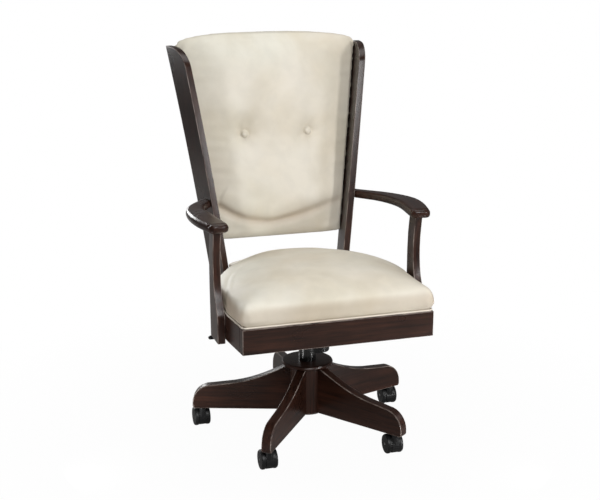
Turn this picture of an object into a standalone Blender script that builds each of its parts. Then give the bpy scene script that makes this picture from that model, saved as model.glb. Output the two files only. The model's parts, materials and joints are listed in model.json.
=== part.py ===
"""Desk chair with a five legged swivel base, a gas column, a tilting seat,
open arms and a crowned back between two splayed side boards.

Metres, +Z up. The sitter faces -Y. Every place below is measured from the column
axis at the floor; the whole chair is then moved by COLUMN_Y, so that the middle
of its outline stands on the origin.
"""
import math

import bmesh
import bpy
from mathutils import Matrix, Vector

# Clearances
GAP = 0.0003            # between faces that touch on the real chair
RUNNING_GAP = 0.0003    # radial room of a turning or sliding fit

# Where the column axis stands, seen from the middle of the chair's outline
COLUMN_Y = -0.0770

# Base: hub, disc and legs
HUB_RADIUS = 0.051
HUB_BOTTOM = 0.0600
DISC_RADIUS = 0.075
DISC_THICKNESS = 0.012
DISC_TOP = 0.218
LEG_COUNT = 5
LEG_THICKNESS = 0.028
LEG_BOTTOM = 0.0635
LEG_TIP = 0.339         # column axis to the tip of a leg
LEG_KNEE = 0.285        # where the top edge starts to round down to the tip
LEG_KNEE_HEIGHT = 0.137
LEG_WAIST = 0.240       # where the sweep down from the hub levels out
LEG_WAIST_HEIGHT = 0.1425
LEG_TIP_SHOULDER = 0.080
LEG_DROP_FROM_DISC = 0.001
REAR_LEG_ANGLE = 89.0   # degrees, one leg points almost straight back

# Casters
STEM_CIRCLE = 0.311     # column axis to a caster stem
STEM_RADIUS = 0.0055
STEM_TOP = 0.102
CASTER_TRAIL = 0.020
WHEEL_RADIUS = 0.028
WHEEL_WIDTH = 0.0125
HOOD_HALF_WIDTH = 0.0112
HOOD_RADIUS = 0.0285
HOOD_TOP = 0.0605
HOOD_START = 60.0       # degrees from straight back, over the top
HOOD_END = 225.0        # degrees, low at the front
CASTER_AXLE_RADIUS = 0.004

# Gas column
COLUMN_RADIUS = 0.025
COLUMN_WALL = 0.0022
COLUMN_BOTTOM = 0.066
COLUMN_TOP = 0.290
COLUMN_FLOOR = 0.006
CYLINDER_RADIUS = 0.014
CYLINDER_BOTTOM = 0.120
CYLINDER_TOP = 0.3265
ROD_RADIUS = 0.005
ROD_BORE_TOP = 0.266
BUSHING_LENGTH = 0.060
BEARING_RADIUS = 0.018
BEARING_HEIGHT = 0.006
BUTTON_PIN_RADIUS = 0.004
BUTTON_PIN_PROUD = 0.004
BUTTON_PIN_DEPTH = 0.008

# Tilt mechanism under the seat
TILT_Y = -0.045
TILT_Z = 0.334
TILT_LIMIT = 0.20       # radians, leaning back
SHAFT_RADIUS = 0.005
HOUSING_HALF_WIDTH = 0.050
HOUSING_WALL = 0.003
HOUSING_FRONT = -0.132
HOUSING_REAR = 0.045
HOUSING_BOTTOM = 0.302
HOUSING_HEADROOM = 0.0025
SOCKET_RADIUS = 0.021
SOCKET_BOTTOM = 0.2945
SOCKET_TOP = 0.322
PLATE_THICKNESS = 0.004
PLATE_HALF_WIDTH = 0.085
PLATE_FRONT = -0.145
PLATE_REAR = 0.100
EAR_THICKNESS = 0.003
EAR_HALF_LENGTH = 0.018
EAR_BOTTOM = 0.320
SPRING_WIRE_RADIUS = 0.002
SPRING_TURNS = 8
SPRING_HALF_LENGTH = 0.038
KNOB_Y = -0.100
KNOB_RADIUS = 0.032
KNOB_BOTTOM = 0.2805
KNOB_TOP = 0.3005
BOLT_RADIUS = 0.005
LEVER_RADIUS = 0.004
LEVER_PIVOT_REACH = 0.008   # side of the housing to the lever's pin
LEVER_PIVOT_X = -(HOUSING_HALF_WIDTH + LEVER_PIVOT_REACH)
LEVER_LIMIT = 0.06      # radians, handle up
LEVER_TIP_X = -0.302
LEVER_TIP_Y = -0.038
LEVER_TIP_Z = 0.3270
GRIP_START_X = -0.235
GRIP_HALF_WIDTH = 0.010
GRIP_HALF_HEIGHT = 0.0055

# Seat frame
SEAT_BOTTOM = 0.357
SEAT_RAIL_TOP = 0.428
RAIL_THICKNESS = 0.022
SEAT_FRONT = -0.289
SEAT_FRONT_HALF_WIDTH = 0.2695
SEAT_HALF_WIDTH = 0.2807
SEAT_WIDEST_FROM = -0.160
SEAT_WIDEST_TO = -0.045
REAR_RAIL_BACK = 0.292
SEAT_BOARD_THICKNESS = 0.018

# Seat cushion
CUSHION_REAR = 0.284
CUSHION_CROWN = 0.534
CUSHION_CENTRE_Y = -0.030
CUSHION_POST_ROOM = 0.004
CUSHION_CORNER = 0.012
CUSHION_ROUND_X = 0.250
CUSHION_ROUND_Y = 0.270
CUSHION_FALL_FROM = 0.020
CUSHION_REAR_FALL = 0.68
WELT_RADIUS = 0.0025

# Back side boards: the inner front edge is a curve through foot, bend and top
POST_THICKNESS = 0.020
POST_SPLAY = math.radians(10.0)
POST_FOOT = (0.169, 0.197, 0.357)
POST_BEND = (0.2124, 0.2283, 0.7255)
POST_TOP = (0.2674, 0.3105, 1.0960)
POST_FOOT_DEPTH = 0.109
POST_TOP_DEPTH = 0.127
POST_ROUND_DEPTH = 0.085
POST_ROUND_HEIGHT = 0.052

# Back panel
BACK_BOTTOM = 0.520
BACK_SHOULDER = 1.096    # top of the panel where it meets the side boards
BACK_CREST = 0.038       # how far the middle of the top rises above that
BACK_COVER_THICKNESS = 0.005
BACK_BOARD_THICKNESS = 0.012
BACK_EDGE_THICKNESS = 0.010
BACK_CROWN = 0.056
BACK_REAR_INSET = 0.001
BACK_SIDE_GAP = 0.0008
BACK_LEAN_STEP = 0.010   # the panel's lean above the shoulder is read over this height
TUFT_X = 0.100
TUFT_Z = 0.839
TUFT_DEPTH = 0.010
TUFT_SPREAD = 0.028
BUTTON_RADIUS = 0.0105
BUTTON_THICKNESS = 0.006

# Arms
ARM_THICKNESS = 0.026
ARM_POST_THICKNESS = 0.0225
ARM_HEIGHT = 0.664       # middle of the arm over its support
ARM_POST_HEIGHT = 0.644  # middle of the arm at the side board
ARM_JOINT_DEPTH = 0.050  # how far behind the board's front edge the arm meets it
SUPPORT_THICKNESS = 0.022
SUPPORT_INNER_X = SEAT_HALF_WIDTH + GAP
SUPPORT_BOTTOM = 0.345
SUPPORT_FOOT_FRONT = -0.150
SUPPORT_FOOT_BACK = -0.068
SUPPORT_WAIST_FRONT = -0.106
SUPPORT_WAIST_BACK = -0.062
SUPPORT_TOP_FRONT = -0.118
SUPPORT_TOP_BACK = -0.075

ROUND_STEPS = 28
SMALL_ROUND_STEPS = 12
WOOD_ROUNDING = 0.0022


def clear_scene():
    """Removes what the startup file holds."""
    for old in list(bpy.data.objects):
        bpy.data.objects.remove(old, do_unlink=True)


def make_material(name, colour, roughness, metallic=0.0):
    """One Principled material for each kind of surface."""
    material = bpy.data.materials.new(name)
    material.use_nodes = True
    shader = material.node_tree.nodes["Principled BSDF"]
    shader.inputs["Base Color"].default_value = (*colour, 1.0)
    shader.inputs["Roughness"].default_value = roughness
    shader.inputs["Metallic"].default_value = metallic
    material.diffuse_color = (*colour, 1.0)
    return material


FRAME_PLACES = {}


def make_frame(name, place, parent=None):
    """Adds an empty on a joint axis; place is measured from the column axis."""
    frame = bpy.data.objects.new(name, None)
    bpy.context.collection.objects.link(frame)
    frame.empty_display_size = 0.03
    FRAME_PLACES[name] = Vector(place)
    if parent is None:
        frame.location = (place[0], place[1] + COLUMN_Y, place[2])
    else:
        frame.parent = parent
        frame.location = FRAME_PLACES[name] - FRAME_PLACES[parent.name]
    return frame


def face_outwards(shape):
    """Points every face of a closed solid away from its inside."""
    bmesh.ops.recalc_face_normals(shape, faces=shape.faces)
    if shape.calc_volume(signed=True) < 0.0:
        bmesh.ops.reverse_faces(shape, faces=shape.faces)


def add_piece(name, shape, material, frame, smooth_angle=None):
    """Turns a bmesh in chair coordinates into a named object on a frame."""
    face_outwards(shape)
    bmesh.ops.translate(shape, verts=shape.verts, vec=-FRAME_PLACES[frame.name])
    mesh = bpy.data.meshes.new(name)
    shape.to_mesh(mesh)
    shape.free()
    if smooth_angle is not None:
        mesh.shade_smooth()
        mesh.set_sharp_from_angle(angle=math.radians(smooth_angle))
    piece = bpy.data.objects.new(name, mesh)
    bpy.context.collection.objects.link(piece)
    piece.parent = frame
    if material is not None:
        mesh.materials.append(material)
    return piece


def add_tool(name, shape, frame):
    """A hidden solid that only cuts or joins another piece."""
    tool = add_piece(name, shape, None, frame)
    tool.hide_render = True
    tool.display_type = "WIRE"
    return tool


def use_tool(piece, tool, operation="DIFFERENCE"):
    """Cuts a piece with a tool, or joins the tool to it."""
    modifier = piece.modifiers.new(tool.name, "BOOLEAN")
    modifier.object = tool
    modifier.operation = operation
    modifier.solver = "EXACT"
    return modifier


def round_edges(piece, width, segments=2, angle=40.0):
    """Softens the sharp edges of a wooden piece."""
    modifier = piece.modifiers.new("Rounding", "BEVEL")
    modifier.width = width
    modifier.segments = segments
    modifier.limit_method = "ANGLE"
    modifier.angle_limit = math.radians(angle)
    modifier.harden_normals = False
    return modifier


def loft(rings):
    """Joins rings of equally many points and closes both ends."""
    shape = bmesh.new()
    rows = [[shape.verts.new(point) for point in ring] for ring in rings]
    count = len(rows[0])
    for lower, upper in zip(rows, rows[1:]):
        for i in range(count):
            j = (i + 1) % count
            shape.faces.new((lower[i], lower[j], upper[j], upper[i]))
    shape.faces.new(list(reversed(rows[0])))
    shape.faces.new(rows[-1])
    return shape


def turn(profile, steps=ROUND_STEPS, centre=(0.0, 0.0, 0.0), axis="Z"):
    """Turns a closed profile of (radius, height) points about an axis.

    A point with radius 0 becomes one shared point on the axis.
    """
    shape = bmesh.new()
    rings = []
    for radius, height in profile:
        if radius == 0.0:
            rings.append([shape.verts.new((0.0, 0.0, height))])
            continue
        ring = []
        for i in range(steps):
            angle = 2.0 * math.pi * i / steps
            ring.append(shape.verts.new((radius * math.cos(angle), radius * math.sin(angle), height)))
        rings.append(ring)
    pairs = list(zip(rings, rings[1:]))
    if len(rings[0]) > 1:
        pairs.append((rings[-1], rings[0]))
    for lower, upper in pairs:
        for i in range(steps):
            j = (i + 1) % steps
            if len(lower) == 1:
                shape.faces.new((lower[0], upper[j], upper[i]))
            elif len(upper) == 1:
                shape.faces.new((lower[i], lower[j], upper[0]))
            else:
                shape.faces.new((lower[i], lower[j], upper[j], upper[i]))
    if axis == "X":
        bmesh.ops.rotate(shape, verts=shape.verts, matrix=Matrix.Rotation(math.pi / 2, 3, "Y"))
    elif axis == "Y":
        bmesh.ops.rotate(shape, verts=shape.verts, matrix=Matrix.Rotation(-math.pi / 2, 3, "X"))
    bmesh.ops.translate(shape, verts=shape.verts, vec=Vector(centre))
    return shape


def rod(radius, low, high, centre=(0.0, 0.0, 0.0), axis="Z", steps=ROUND_STEPS):
    """A plain round bar between two heights along its axis."""
    profile = [(0.0, low), (radius, low), (radius, high), (0.0, high)]
    return turn(profile, steps, centre, axis)


def ring_bar(inner, outer, low, high, centre=(0.0, 0.0, 0.0), steps=ROUND_STEPS):
    """A plain round tube."""
    return turn([(inner, low), (outer, low), (outer, high), (inner, high)], steps, centre)


def block(low, high):
    """A box between two corners."""
    (x0, y0, z0), (x1, y1, z1) = low, high
    floor = [(x0, y0, z0), (x1, y0, z0), (x1, y1, z0), (x0, y1, z0)]
    roof = [(x, y, z1) for x, y, _ in floor]
    return loft([floor, roof])


def slab(outline, low, high):
    """An outline in plan, raised between two heights."""
    return loft([[(x, y, low) for x, y in outline], [(x, y, high) for x, y in outline]])


def merged(*shapes):
    """Several separate shells in one mesh."""
    whole = bmesh.new()
    for shape in shapes:
        mesh = bpy.data.meshes.new("part_of_tool")
        face_outwards(shape)
        shape.to_mesh(mesh)
        shape.free()
        whole.from_mesh(mesh)
        bpy.data.meshes.remove(mesh)
    return whole


def tube(path, radius, sides=8, flatten=1.0):
    """A bar of round section along a path, with flat ends."""
    rings = []
    side = None
    for i, point in enumerate(path):
        before = Vector(path[max(i - 1, 0)])
        after = Vector(path[min(i + 1, len(path) - 1)])
        along = (after - before).normalized()
        if side is None:
            side = along.orthogonal().normalized()
        side = (side - along * side.dot(along)).normalized()
        other = along.cross(side)
        ring = []
        for k in range(sides):
            angle = 2.0 * math.pi * k / sides
            ring.append(Vector(point) + side * radius * math.cos(angle) + other * radius * math.sin(angle))
        rings.append(ring)
    return loft(rings)


def bezier(points, steps):
    """Points along a quadratic or cubic curve."""
    result = []
    for i in range(steps + 1):
        t = i / steps
        level = [Vector(p) for p in points]
        while len(level) > 1:
            level = [a.lerp(b, t) for a, b in zip(level, level[1:])]
        result.append(level[0])
    return result


def smooth_path(points, steps):
    """A smooth curve through the given points."""
    points = [Vector(p) for p in points]
    padded = [2 * points[0] - points[1], *points, 2 * points[-1] - points[-2]]
    result = []
    for a, b, c, d in zip(padded, padded[1:], padded[2:], padded[3:]):
        for i in range(steps):
            t = i / steps
            result.append(0.5 * ((2 * b) + (c - a) * t + (2 * a - 5 * b + 4 * c - d) * t * t
                                 + (3 * b - a - 3 * c + d) * t * t * t))
    result.append(points[-1])
    return result


def offset_line(points, distance):
    """Moves an open line to its left side by a distance."""
    moved = []
    for i, point in enumerate(points):
        after = points[min(i + 1, len(points) - 1)]
        before = points[max(i - 1, 0)]
        along = (after - before).normalized()
        moved.append(point + Vector((-along.y, along.x)) * distance)
    return moved


def mirrored(points):
    """The same points on the other side of the chair, in reverse order."""
    return [Vector((-p[0], *p[1:])) for p in reversed(points)]


def mix(a, b, t):
    """The value a share t of the way from a to b."""
    return a + (b - a) * t


# Side boards of the back
def post_share(height):
    """How far up the side board a height lies, from 0 to 1."""
    return (height - POST_FOOT[2]) / (POST_TOP[2] - POST_FOOT[2])


def post_front(height):
    """Inner front edge of the right side board, in plan, at a height."""
    t = post_share(height)
    x = (1 - t) ** 2 * POST_FOOT[0] + 2 * t * (1 - t) * POST_BEND[0] + t * t * POST_TOP[0]
    y = (1 - t) ** 2 * POST_FOOT[1] + 2 * t * (1 - t) * POST_BEND[1] + t * t * POST_TOP[1]
    return Vector((x, y))


def post_depth(height):
    """Depth of the side board from its front edge to its rear edge."""
    return mix(POST_FOOT_DEPTH, POST_TOP_DEPTH, post_share(height))


POST_BACKWARDS = Vector((math.sin(POST_SPLAY), math.cos(POST_SPLAY)))
POST_OUTWARDS = Vector((math.cos(POST_SPLAY), -math.sin(POST_SPLAY)))


def post_inner_face(height, depth):
    """A point of the board's inner face, a depth behind its front edge."""
    return post_front(height) + POST_BACKWARDS * depth


def post_inner_x(height, y):
    """Half the room between the two boards, at a height and a place back."""
    front = post_front(height)
    return front.x + (y - front.y) * math.tan(POST_SPLAY)


# Seat outline
def seat_side():
    """Outer line of the right side rail, front to rear, in plan."""
    end_x = POST_FOOT[0] + POST_THICKNESS * math.cos(POST_SPLAY)
    end_y = POST_FOOT[1] - POST_THICKNESS * math.sin(POST_SPLAY) - GAP
    start = [(SEAT_FRONT_HALF_WIDTH, SEAT_FRONT), (SEAT_HALF_WIDTH, SEAT_WIDEST_FROM)]
    reach = (end_y - SEAT_WIDEST_TO) / 3.0
    sweep = [(SEAT_HALF_WIDTH, SEAT_WIDEST_TO), (SEAT_HALF_WIDTH, SEAT_WIDEST_TO + reach),
             (mix(end_x, SEAT_HALF_WIDTH, 0.4), end_y - reach), (end_x + 0.002, end_y)]
    return [Vector(p) for p in start] + bezier(sweep, 10)


def cushion_outline(inset):
    """Outline of the cushion in plan, moved inwards by an inset, anticlockwise.

    It follows the rails and is notched round the side boards of the back.
    """
    line = offset_line(seat_side(), inset)
    front_y = SEAT_FRONT + inset
    notch_y = seat_side()[-1].y - CUSHION_POST_ROOM - inset
    notch_x = POST_FOOT[0] - CUSHION_POST_ROOM - inset
    rear_y = CUSHION_REAR - inset

    def side_point(y):
        for before, after in zip(line, line[1:]):
            if y <= after.y or after is line[-1]:
                return before.lerp(after, (y - before.y) / (after.y - before.y))

    corner = side_point(front_y)
    along = (line[1] - line[0]).normalized() * CUSHION_CORNER
    right = [Vector((corner.x * share, front_y)) for share in (0.2, 0.4, 0.6, 0.8)]
    right += bezier([corner - Vector((CUSHION_CORNER, 0.0)), corner, corner + along], 4)
    for share in (0.12, 0.24, 0.36, 0.48, 0.58, 0.67, 0.75, 0.82, 0.88, 0.94, 1.0):
        right.append(side_point(mix(front_y, notch_y, share)))
    right.append(Vector((notch_x, notch_y)))
    right.append(Vector((notch_x, mix(notch_y, rear_y, 0.5))))
    right.append(Vector((notch_x, rear_y)))
    right.append(Vector((notch_x * 0.5, rear_y)))
    return [Vector((0.0, front_y))] + right + [Vector((0.0, rear_y))] + mirrored(right)


# Back panel
def back_edge(height, from_rear):
    """Where the panel's side edge lies, a distance ahead of the boards' rear edge."""
    held = min(height, BACK_SHOULDER)
    behind = BACK_REAR_INSET + from_rear
    point = post_inner_face(held, post_depth(held) - behind)
    below = held - BACK_LEAN_STEP
    lean = point - post_inner_face(below, post_depth(below) - behind)
    return Vector((point.x - BACK_SIDE_GAP, point.y + lean.y * (height - held) / BACK_LEAN_STEP))


def back_top(across):
    """Height of the panel's top edge, for a place across from -1 to 1."""
    return BACK_SHOULDER + BACK_CREST * max(0.0, 1.0 - abs(across) ** 2.3) ** 0.42


def back_slab(front_from_rear, rear_from_rear, top_drop, columns, rows):
    """A flat panel between the side boards, with the arched top."""
    rings = []
    for j in range(rows):
        front, rear = [], []
        for i in range(columns):
            across = -1.0 + 2.0 * i / (columns - 1)
            height = mix(BACK_BOTTOM, back_top(across) - top_drop, j / (rows - 1))
            for line, depth in ((front, front_from_rear), (rear, rear_from_rear)):
                edge = back_edge(height, depth)
                line.append((edge.x * across, edge.y, height))
        rings.append(front + list(reversed(rear)))
    return loft(rings)


def back_crown(across, up):
    """How far the back cushion stands forward of its edge."""
    side = (1.0 - abs(across) ** 2.6) ** 0.75
    lower = min(up / 0.16, 1.0)
    upper = min((1.0 - up) / 0.14, 1.0)
    rise = math.sin(0.5 * math.pi * lower) ** 0.7
    fall = math.sin(0.5 * math.pi * upper) ** 0.6
    return BACK_CROWN * side * (0.12 + 0.88 * rise) * (0.40 + 0.60 * fall)


def tuft(x, height):
    """How deep the two sewn buttons pull the back cushion in at a point."""
    pull = 0.0
    for side in (-1, 1):
        distance = math.hypot(x - side * TUFT_X, height - TUFT_Z)
        beyond = max(0.0, distance - 1.5 * BUTTON_RADIUS)
        pull += TUFT_DEPTH * math.exp(-(beyond / TUFT_SPREAD) ** 2)
    return pull


def cushion_front(across, up):
    """A point of the back cushion's front face."""
    height = mix(BACK_BOTTOM, back_top(across), up)
    seat = BACK_COVER_THICKNESS + BACK_BOARD_THICKNESS + 2 * GAP
    forward = seat + BACK_EDGE_THICKNESS * (1.0 - 0.6 * abs(across) ** 6) + back_crown(across, up)
    edge = back_edge(height, seat)
    x = edge.x * across
    forward_y = edge.y - (forward - seat) + tuft(x, height)
    narrow = min(1.0, post_inner_x(min(height, BACK_SHOULDER), forward_y) / edge.x)
    return Vector((x * mix(1.0, narrow, abs(across) ** 4) * (1.0 - 0.004 * abs(across)), forward_y, height))


def build_base(chair, materials):
    """Hub, disc, legs, column tube and its bearings: all that stands still."""
    bore = COLUMN_RADIUS + GAP
    disc_bottom = DISC_TOP - DISC_THICKNESS
    hub_top = disc_bottom - GAP
    rounding = 0.006
    hub = [(bore, HUB_BOTTOM), (HUB_RADIUS - rounding, HUB_BOTTOM)]
    for step in (1, 2, 3):
        angle = step * math.pi / 6
        hub.append((HUB_RADIUS - rounding + rounding * math.sin(angle),
                    HUB_BOTTOM + rounding - rounding * math.cos(angle)))
    hub += [(HUB_RADIUS, hub_top), (bore, hub_top)]
    add_piece("hub", turn(hub, 32), materials["wood"], chair, 35)

    half = DISC_THICKNESS / 2
    disc = [(bore, disc_bottom)]
    for step in range(5):
        angle = -math.pi / 2 + step * math.pi / 4
        disc.append((DISC_RADIUS - half + half * math.cos(angle),
                     disc_bottom + half + half * math.sin(angle)))
    disc.append((bore, DISC_TOP))
    add_piece("hub_disc", turn(disc, 40), materials["wood"], chair, 35)

    shoulder = [(LEG_TIP - 0.004, LEG_BOTTOM), (LEG_TIP, LEG_BOTTOM + 0.006)]
    tip_arc = []
    for step in range(9):
        angle = step * math.pi / 16
        tip_arc.append((LEG_KNEE + (LEG_TIP - LEG_KNEE) * math.cos(angle),
                        LEG_TIP_SHOULDER + (LEG_KNEE_HEIGHT - LEG_TIP_SHOULDER) * math.sin(angle)))
    top_in = disc_bottom - LEG_DROP_FROM_DISC
    inside = HUB_RADIUS * 0.6
    sweep = bezier([(LEG_WAIST, LEG_WAIST_HEIGHT), (0.62 * LEG_WAIST, LEG_WAIST_HEIGHT + 0.008),
                    (HUB_RADIUS + 0.040, top_in - 0.016), (HUB_RADIUS - 0.002, top_in)], 10)
    outline = [(inside, LEG_BOTTOM)] + shoulder + tip_arc + [tuple(p) for p in sweep] + [(inside, top_in)]
    hub_cut = add_tool("hub_cut", rod(HUB_RADIUS + GAP, 0.0, COLUMN_TOP, steps=48), chair)
    half = LEG_THICKNESS / 2
    for number in range(LEG_COUNT):
        angle = math.radians(REAR_LEG_ANGLE) + 2 * math.pi * number / LEG_COUNT
        leg = loft([[(s, -half, z) for s, z in outline], [(s, half, z) for s, z in outline]])
        bmesh.ops.rotate(leg, verts=leg.verts, matrix=Matrix.Rotation(angle, 3, "Z"))
        piece = add_piece(f"leg_{number + 1}", leg, materials["wood"], chair)
        round_edges(piece, WOOD_ROUNDING)
        stem_place = (STEM_CIRCLE * math.cos(angle), STEM_CIRCLE * math.sin(angle), 0.0)
        stem_cut = rod(STEM_RADIUS + 2 * RUNNING_GAP, 0.0, STEM_TOP + GAP, stem_place, steps=SMALL_ROUND_STEPS)
        use_tool(piece, hub_cut)
        use_tool(piece, add_tool(f"stem_cut_{number + 1}", stem_cut, chair))

    inner = COLUMN_RADIUS - COLUMN_WALL
    floor_top = COLUMN_BOTTOM + COLUMN_FLOOR
    rod_hole = ROD_RADIUS + RUNNING_GAP
    column = [(rod_hole, COLUMN_BOTTOM), (COLUMN_RADIUS, COLUMN_BOTTOM), (COLUMN_RADIUS, COLUMN_TOP),
              (inner, COLUMN_TOP), (inner, floor_top), (rod_hole, floor_top)]
    add_piece("column_tube", turn(column), materials["black_steel"], chair, 35)
    bearing_low = floor_top + GAP
    add_piece("thrust_bearing", ring_bar(rod_hole, BEARING_RADIUS, bearing_low, bearing_low + BEARING_HEIGHT),
              materials["steel"], chair, 35)
    add_piece("guide_bushing", ring_bar(CYLINDER_RADIUS + RUNNING_GAP, inner - GAP,
                                        COLUMN_TOP - BUSHING_LENGTH, COLUMN_TOP),
              materials["black_plastic"], chair, 35)


def build_caster(chair, materials, number):
    """A twin wheel caster: yoke on a stem, two wheels and their axle."""
    angle = math.radians(REAR_LEG_ANGLE) + 2 * math.pi * number / LEG_COUNT
    stem = Vector((STEM_CIRCLE * math.cos(angle), STEM_CIRCLE * math.sin(angle), 0.0))
    axle = stem + Vector((0.0, CASTER_TRAIL, WHEEL_RADIUS))
    name = f"caster_{number + 1}"
    yoke_frame = make_frame(f"{name}_swivel", stem, chair)
    wheel_frame = make_frame(f"{name}_roll", axle, yoke_frame)

    profile = []
    for step in range(10):
        turned = math.radians(mix(HOOD_START, HOOD_END, step / 9))
        profile.append((axle.y + HOOD_RADIUS * math.cos(turned), axle.z + HOOD_RADIUS * math.sin(turned)))
    wall = CASTER_AXLE_RADIUS * 2.2
    profile += [(axle.y - 0.002, axle.z - wall - 0.003), (axle.y + wall, axle.z - wall),
                (axle.y + wall + 0.004, axle.z + 0.002)]
    hood = loft([[(axle.x - HOOD_HALF_WIDTH, y, z) for y, z in profile],
                 [(axle.x + HOOD_HALF_WIDTH, y, z) for y, z in profile]])
    yoke = add_piece(f"{name}_yoke", hood, materials["black_plastic"], yoke_frame)
    collar = HOOD_HALF_WIDTH - 0.0008
    stem_shape = [(0.0, axle.z + wall), (collar, axle.z + wall), (collar, HOOD_TOP),
                  (collar - 0.002, LEG_BOTTOM - GAP), (STEM_RADIUS, LEG_BOTTOM - GAP),
                  (STEM_RADIUS, STEM_TOP - 0.001), (STEM_RADIUS - 0.001, STEM_TOP), (0.0, STEM_TOP)]
    use_tool(yoke, add_tool(f"{name}_stem_tool", turn(stem_shape, SMALL_ROUND_STEPS, stem), yoke_frame), "UNION")
    axle_cut = rod(CASTER_AXLE_RADIUS + RUNNING_GAP, -0.03, 0.03, axle, "X", SMALL_ROUND_STEPS)
    use_tool(yoke, add_tool(f"{name}_axle_tool", axle_cut, yoke_frame))

    inner = HOOD_HALF_WIDTH + RUNNING_GAP
    outer = inner + WHEEL_WIDTH
    bore = CASTER_AXLE_RADIUS + RUNNING_GAP
    tread = WHEEL_RADIUS
    wheel = [(bore, inner), (tread * 0.97, inner), (tread, inner + 0.0025), (tread, outer - 0.0045),
             (tread * 0.93, outer - 0.0012), (tread * 0.50, outer), (bore, outer)]
    for side, label in ((-1, "left"), (1, "right")):
        shape = turn([(r, side * x) for r, x in wheel], 24, axle, "X")
        add_piece(f"{name}_wheel_{label}", shape, materials["black_plastic"], wheel_frame, 35)
    add_piece(f"{name}_axle", rod(CASTER_AXLE_RADIUS, -(outer - 0.0005), outer - 0.0005, axle, "X",
                                  SMALL_ROUND_STEPS), materials["steel"], wheel_frame, 35)


def build_column(swivel, carriage, valve, materials):
    """The turning piston rod, the rising cylinder and the pin that releases it."""
    seat = COLUMN_BOTTOM + COLUMN_FLOOR + BEARING_HEIGHT + 2 * GAP
    piston = [(0.0, COLUMN_BOTTOM - 0.005), (ROD_RADIUS, COLUMN_BOTTOM - 0.005), (ROD_RADIUS, seat),
              (ROD_RADIUS * 1.8, seat), (ROD_RADIUS * 1.8, seat + 0.003), (ROD_RADIUS, seat + 0.003),
              (ROD_RADIUS, ROD_BORE_TOP - 0.004), (0.0, ROD_BORE_TOP - 0.004)]
    add_piece("piston_rod", turn(piston, SMALL_ROUND_STEPS), materials["steel"], swivel, 35)
    bore = ROD_RADIUS + RUNNING_GAP
    pin_bore = BUTTON_PIN_RADIUS + RUNNING_GAP
    pin_floor = CYLINDER_TOP - BUTTON_PIN_DEPTH
    cylinder = [(0.0, ROD_BORE_TOP), (bore, ROD_BORE_TOP), (bore, CYLINDER_BOTTOM),
                (CYLINDER_RADIUS, CYLINDER_BOTTOM), (CYLINDER_RADIUS, CYLINDER_TOP),
                (pin_bore, CYLINDER_TOP), (pin_bore, pin_floor), (0.0, pin_floor)]
    add_piece("gas_cylinder", turn(cylinder), materials["black_steel"], carriage, 35)
    pin = rod(BUTTON_PIN_RADIUS, pin_floor + LEVER_LIMIT * abs(LEVER_PIVOT_X) + GAP,
              CYLINDER_TOP + BUTTON_PIN_PROUD, steps=SMALL_ROUND_STEPS)
    add_piece("release_pin", pin, materials["steel"], valve, 35)


def lever_height():
    """Middle of the lever over the release pin."""
    return CYLINDER_TOP + BUTTON_PIN_PROUD + GAP + LEVER_RADIUS


def least_coil_gap(path, points_per_turn):
    """Least room between the turns of a spring, measured on its points."""
    least = math.inf
    for i, point in enumerate(path):
        for other in path[i + points_per_turn // 2:]:
            least = min(least, (Vector(point) - Vector(other)).length)
    return least - 2 * SPRING_WIRE_RADIUS


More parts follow.
